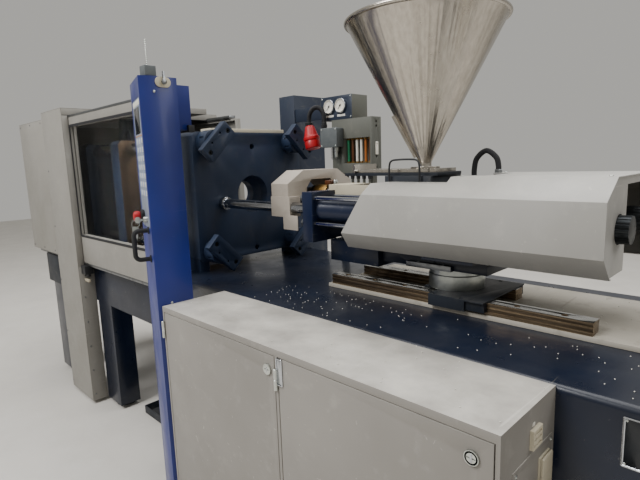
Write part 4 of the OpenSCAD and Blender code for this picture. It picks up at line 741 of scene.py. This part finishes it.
class MACHINE_OT_services(bpy.types.Operator):
    """Gauge faces, junction box, ribbed conduit and flow tubes of the cooling manifold"""
    bl_idname = "machine.services"
    bl_label = "Services"

    def execute(self, context):
        self.gauges()
        self.conduit()
        self.manifold()
        return {"FINISHED"}

    def gauges(self):
        """Bezels, tick marks and the blank strips under the gauges."""
        centres = [(x, 0, GAUGE_Z) for x in GAUGE_X]
        bezel = turned([(255, 27), (249, 33), (243, 33.5), (239.5, 32), (239, 29.5), (241, 28),
                        (255, 25.5)], axis="y", sides=48, loop=True)
        piece("gauge_bezels", "machine", "chrome", copies(bezel, centres))
        sweep = np.radians(np.linspace(-135, 135, 28))
        long = np.arange(28) % 3 == 0
        inner, half = np.where(long, 18.5, 21.0)[:, None], np.where(long, 0.5, 0.2)[:, None]
        rim, dial, thick = 23.5, 243.7, 0.5
        side = np.stack([np.cos(sweep), 0 * sweep, -np.sin(sweep)], -1)
        out = np.stack([np.sin(sweep), 0 * sweep, np.cos(sweep)], -1)
        corners = [out * reach + sign * half * side
                   for reach, sign in ((inner, -1), (inner, 1), (rim, 1), (rim, -1))]
        front = np.stack([corner + (0, dial, 0) for corner in corners], 1)
        ticks = joined(*[skin(tick) for tick in np.stack([front, front + (0, thick, 0)], 1)])
        piece("gauge_ticks", "machine", "black", copies(ticks, centres))
        strip = slab(rectangle((-24, 24), (-5, 5), 1), 249.9, 249.2, "y", 0.2)
        piece("gauge_strips", "machine", "white", copies(strip, [(x, 0, 349) for x in GAUGE_X]))
        head = screw_head(3.6, 2.0, "y", -1)
        piece("gauge_box_screws", "machine", "turned",
              copies(head, [(x, GAUGE_BOX_Y, z) for x in (373, 548) for z in (339, 429)]))

    def conduit(self):
        """Junction box with lid and screws, ribbed conduit, clear cap and the connector's nut."""
        body = piece("junction_body", "machine", "greyplastic",
                     block((402, 204, 206), (503, 250, 292), 5, 3),
                     block((400.5, 200, 204.5), (504.5, 209, 293.5), 3, 3))
        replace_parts(body, "junction_box")
        head = screw_head(3.6, 1.8, "y", -1)
        piece("junction_screws", "machine", "turned",
              copies(head, [(x, 200.2, z) for x in (409, 496) for z in (213, 285)]))
        right, left, foot, top = 404, 304, 300, 345
        radius = (right - left) / 2
        at = (right, SERVICES_Y, 0)
        gland = turned([(290, 13), (300, 13), (301, 15), (312, 15), (313, 12), (318, 11)],
                       at, "z", 6)
        ring = turned([(300, 12), (322, 12), (324, 10)], at, "z", 24)
        piece("conduit_gland", "machine", "black", gland, ring)
        rise = np.linspace(foot, top - 1, 45)
        bend = np.linspace(0, np.pi, 158)
        arc = (left + radius + radius * np.cos(bend), top + radius * np.sin(bend))
        fall = rise[:15:-1]
        x = np.concatenate([0 * rise + right, arc[0], 0 * fall + left])
        z = np.concatenate([rise, arc[1], fall])
        path = np.stack([x, 0 * x + SERVICES_Y, z], -1)
        ribs = 10.2 + 0.9 * np.cos(np.arange(len(path)) * 1.3)
        piece("ribbed_conduit", "machine", "rubber", tube(path, ribs, 20))
        cap = block((450, 212, 150), (496, 246, 205), 9, 4)
        piece("clear_cap", "machine", "glass", cap)
        core = [(158, 8), (160, 11), (186, 11), (190, 14), (206, 14)]
        piece("cap_core", "machine", "turned", turned(core, (473, 229, 0), "z", 24))
        nut = turned([(0, 17), (3, 18.5), (14, 18.5), (16, 15)], sides=8)
        piece("connector_nut", "machine", "black", copies(nut, [(left, SERVICES_Y, 314)]))

    def manifold(self):
        """Coloured flow tubes with their nuts, hose tails and the level sight."""
        left, right, y, low, high = 503, 655, 270, 131, 243
        colours = ("green", "brown", "white", "white", "orange", "brown")
        pitch = (right - left) / len(colours)
        centres = [left + (i + 0.5) * pitch for i in range(len(colours))]
        shell = turned([(low, 6.4), (high, 6.4)], (0, y, 0), "z", 20)
        for colour in sorted(set(colours)):
            places = [(x, 0, 0) for x, kind in zip(centres, colours) if kind == colour]
            made = piece("flow_tubes_" + colour, "machine", colour, copies(shell, places))
            if colour == "green":
                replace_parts(made, "flow_tubes")
        nut = turned([(0, 9.5), (6, 9.5), (8, 7.5)], sides=6)
        piece("tube_nuts", "machine", "brass", copies(nut, [(x, y, low) for x in centres]),
              copies(upended(nut), [(x, y, high) for x in centres]))
        tail = turned([(44, 6), (60, 6), (60, 9), (70, 9), (72, 11), (86, 11)], sides=16)
        piece("hose_tails", "machine", "black",
              copies(tail, [(470 + i * 34, 266, 0) for i in range(6)]))
        piece("manifold_sight", "machine", "dial", block((665.1, 275, 166), (669, 293, 214), 1.4),
              turned([(214, 7), (220, 7), (222, 5)], (667, 284, 0), "z", 16))


class MACHINE_OT_unit(bpy.types.Operator):
    """Nuts, screws, hoses, heater terminals and wire bail of the injection unit"""
    bl_idname = "machine.unit"
    bl_label = "Injection unit"

    def execute(self, context):
        self.cylinder_ends()
        self.housing()
        self.hoses()
        self.sight_strip()
        bail = curved([(1026, -104, 70), (1026, -104, 120), (1034, -103, 138), (1060, -102, 142),
                       (1110, -102, 142), (1136, -103, 138), (1145, -104, 120),
                       (1145, -104, 70)], 6)
        piece("wire_bail", "carriage", "black", tube(bail, 3.2, 12))
        places = [(1282, y, 69.0) for y in (-150, 150)]
        places += [(x, y, HOOD_TOP_Z) for x in (1318, 1704) for y in (-145, 145)]
        piece("hood_screws", "carriage", "turned", copies(screw_head(5, 2.8, "z"), places))
        return {"FINISHED"}

    def cylinder_ends(self):
        """Tie rods with their nuts, and rod wipers, of the two pull-in cylinders."""
        corners = [(0, side * PULL_IN_Y + a * CYLINDER_TIE, PULL_IN_Z + b * CYLINDER_TIE)
                   for side in (-1, 1) for a in (-1, 1) for b in (-1, 1)]
        washer, thread = 723.5, 714
        nut = joined(turned([(CYLINDER_END_X, 17), (washer, 17)], axis="x", sides=24),
                     copies(hexagon(14.5, 13, "x", -1), [(washer, 0, 0)]),
                     turned([(thread, 7.6), (706, 7.6), (704.5, 6)], axis="x", sides=16))
        piece("cylinder_tie_nuts", "carriage", "steel", copies(nut, corners))
        bar = turned([(776, 8.3), (1166, 8.3)], axis="x", sides=20)
        piece("cylinder_tie_rods", "carriage", "chrome", copies(bar, corners))
        wiper = turned([(CYLINDER_END_X, 30), (722, 30), (720, 27), (720, 21.6)], axis="x",
                       sides=40)
        places = [(0, side * PULL_IN_Y, PULL_IN_Z) for side in (-1, 1)]
        piece("rod_wipers", "carriage", "rubber", copies(wiper, places))

    def housing(self):
        """Screws of the feed housing, and the terminals of the heater bands."""
        places = [(1181, y, z) for y in (-178, 178) for z in (-98, 50)]
        piece("housing_screws", "carriage", "steel",
              copies(screw_head(9, 9, "x", -1, 24), places))
        terminals = block((642, -26, 50.2), (672, 14, 68), 2)
        piece("terminal_block", "carriage", "brown", terminals)
        piece("terminal_cap", "carriage", "turned",
              turned([(50, 9), (66, 9), (70, 7)], (684, -6, 0), "z", 20),
              block((672, -8, 58), (698, -3, 62), 1))

    def sight_strip(self):
        """Clouded strip let into the hopper's cone, on the operator's side: the cone's radius,
        which grows with height, plus a small lift, over an arc of 26 degrees."""
        height = np.linspace(226, 334, 13)[:, None]
        arc = np.radians(np.linspace(268, 294, 9))[None, :]
        axis_x, foot, low, slope = 1100, 27.0, 165.0, (260 - 27) / (585 - 165)
        layers = []
        for lift in (0.4, 3.0):
            radius = foot + slope * (height - low) + lift
            layers.append(np.stack([axis_x + radius * np.cos(arc), radius * np.sin(arc),
                                    height + 0 * arc], -1))
        inner, outer = layers
        strip = skin(np.concatenate([outer, inner[:, ::-1]], 1))
        piece("hopper_sight_strip", "hopper", "cream", strip)

    def hoses(self):
        """Hose arch on the cover and the hose between the far pull-in cylinder's ports."""
        arch = curved([(1222, 112, 70), (1222, 112, 102), (1231, 112, 138), (1264, 112, 162),
                       (1298, 112, 140), (1307, 112, 112), (1307, 112, 90)], 8)
        piece("hose_arch", "carriage", "rubber", tube(arch, 9.0, 16))
        ends = copies(hexagon(13, 12, "z"), [(1222, 112, 69), (1307, 112, 89)])
        piece("hose_arch_fittings", "carriage", "steel", ends)
        y, front, back, start, bend = 206.0, 752.0, 1096.0, -150, 80.0
        sweep = np.linspace(0, np.pi / 2, 13)
        down = np.stack([front + bend - bend * np.cos(sweep), 0 * sweep + y,
                         start - bend * np.sin(sweep)], -1)
        rise = down[::-1] * (-1, 1, 1) + (front + back, 0, 0)
        run = np.linspace(down[-1], rise[0], 12)[1:-1]
        top = np.linspace(rise[-1], (back, y, -92), 5)[1:]
        line = np.vstack([down, run, rise, top])
        made = piece("cylinder_hose", "carriage", "rubber", tube(line, 9.5, 16))
        fittings = piece("hose_fittings", "carriage", "steel",
                         copies(hexagon(13, 16, "z", -1), [(front, y, -145), (back, y, -84)]))


class MACHINE_OT_details(bpy.types.Operator):
    """Screws of the platen's locking bars, and spilled pellets"""
    bl_idname = "machine.details"
    bl_label = "Details"

    def execute(self, context):
        self.lock_bar_screws()
        self.pellets(context.scene.machine.pellets)
        return {"FINISHED"}

    def lock_bar_screws(self):
        """Two socket screws in each bar; the bars lie across the platen's corners."""
        face, reach = PLATEN_BAR_X, 66.0
        screw = turned([(face - 15, 10.6), (face - 4, 10.6), (face - 3, 9.6), (face - 3, 5.6),
                        (face - 9, 5.2)], axis="x", sides=24)
        places = []
        for side in (-1, 1):
            for level in (-1, 1):
                turn = math.radians(45 * side * level)
                places += [(0, side * TIE_BAR - end * reach * math.sin(turn),
                            level * TIE_BAR + end * reach * math.cos(turn)) for end in (-1, 1)]
        piece("lock_bar_screws", "machine", "casting", copies(screw, places))

    def pellets(self, count):
        """Spilled pellets, 2.8 mm long, lying on the deck, the bed's pad and the cabinet."""
        rng = np.random.default_rng(7)
        grain = turned([(-1.4, 0.5), (-1.2, 1.0), (0, 1.2), (1.2, 1.0), (1.4, 0.5)],
                       axis="x", sides=8)
        areas = [((620, 1250), (-410, -180), DECK_Z, 0.4), ((480, 1690), (-670, -430), DECK_Z, 0.2),
                 ((1250, 2300), (-410, -140), DECK_Z, 0.25),
                 ((1420, 2300), (-110, 280), PAD_Z, 0.15)]
        shells = []
        for x, y, z, share in areas:
            for _ in range(int(count * share)):
                at = (rng.uniform(*x), rng.uniform(*y), z + 1.2)
                shells.append(moved(grain, rng.uniform(0, 180), at))
        piece("pellets", "machine", "white", *shells)


class MACHINE_OT_stage(bpy.types.Operator):
    """Pale floor, soft lights and the camera at the photograph's viewing angle"""
    bl_idname = "machine.stage"
    bl_label = "Stage"

    def execute(self, context):
        scene = context.scene
        world = bpy.data.worlds.new("Studio")
        world.use_nodes = True
        background = world.node_tree.nodes["Background"]
        background.inputs["Color"].default_value = linear("#e8e6e0")
        background.inputs["Strength"].default_value = 0.55
        scene.world = world
        mesh = bpy.data.meshes.new("Floor")
        size, low = 14.0, CAD_BOX[0][2]
        mesh.from_pydata([(-size, -size, low), (size, -size, low), (size, size, low),
                          (-size, size, low)], [], [(0, 1, 2, 3)])
        floor = bpy.data.objects.new("Floor", mesh)
        scene.collection.objects.link(floor)
        floor.data.materials.append(
            painted("Pale floor paint", "#cdc9c2", "#c6c2bb", "#d8d5cf", 0.6, 0.2))
        for name, at, towards, side, power in (
                ("Key light", (-0.5, -4.5, 4.5), (0.6, 0, 0), 3.0, 420),
                ("Window light", (5.5, 2.5, 3.5), (0.8, 0, 0), 3.0, 110),
                ("Roof light", (0.5, 1.0, 5.0), (0.3, 0, 0), 5.0, 380)):
            data = bpy.data.lights.new(name, "AREA")
            data.energy, data.size = power, side
            light = bpy.data.objects.new(name, data)
            light.location = at
            aim = Vector(towards) - Vector(at)
            light.rotation_euler = aim.to_track_quat("-Z", "Y").to_euler()
            scene.collection.objects.link(light)
        make_camera(scene)
        return {"FINISHED"}


def make_camera(scene):
    """Camera where the photograph's straight edges put it: turned 45.22 degrees from +Y towards
    -X, and 9.245 down, with a focal length of 489.6 pixels of 640."""
    turn, dip, roll = (math.radians(a) for a in (45.22, 9.245, -1.961))
    forward = Vector((-math.sin(turn) * math.cos(dip), math.cos(turn) * math.cos(dip),
                      -math.sin(dip)))
    right = Vector((math.cos(turn), math.sin(turn), 0.0))
    up = right.cross(forward)
    side = right * math.cos(roll) + up * math.sin(roll)
    top = up * math.cos(roll) - right * math.sin(roll)
    data = bpy.data.cameras.new("Camera")
    data.sensor_width, data.lens = 36.0, 36.0 * 489.6 / 640
    data.clip_start, data.clip_end = 0.05, 60.0
    camera = bpy.data.objects.new("Camera", data)
    camera.matrix_world = Matrix.Translation((2.039, -1.450, 0.149)) @ Matrix(
        (side, top, -forward)).transposed().to_4x4()
    scene.collection.objects.link(camera)
    scene.camera = camera


class MACHINE_PT_panel(bpy.types.Panel):
    """Lists the machine's pieces and settings"""
    bl_idname = "MACHINE_PT_panel"
    bl_label = "Machine"
    bl_space_type = "VIEW_3D"
    bl_region_type = "UI"
    bl_category = "Machine"

    def draw(self, context):
        for name in MachineSettings.__annotations__:
            self.layout.prop(context.scene.machine, name)
        for maker in MAKERS:
            self.layout.operator(maker.bl_idname)


MAKERS = (MACHINE_OT_finishes, MACHINE_OT_stage, MACHINE_OT_unit, MACHINE_OT_controls,
          MACHINE_OT_guards, MACHINE_OT_cabinet, MACHINE_OT_services, MACHINE_OT_details)
CLASSES = (MachineSettings, *MAKERS, MACHINE_PT_panel)


def register():
    for part in CLASSES:
        bpy.utils.register_class(part)
    bpy.types.Scene.machine = bpy.props.PointerProperty(type=MachineSettings)


def unregister():
    del bpy.types.Scene.machine
    for part in reversed(CLASSES):
        bpy.utils.unregister_class(part)


def main():
    register()
    for maker in MAKERS:
        group, name = maker.bl_idname.split(".")
        getattr(getattr(bpy.ops, group), name)()


if __name__ == "__main__":
    main()
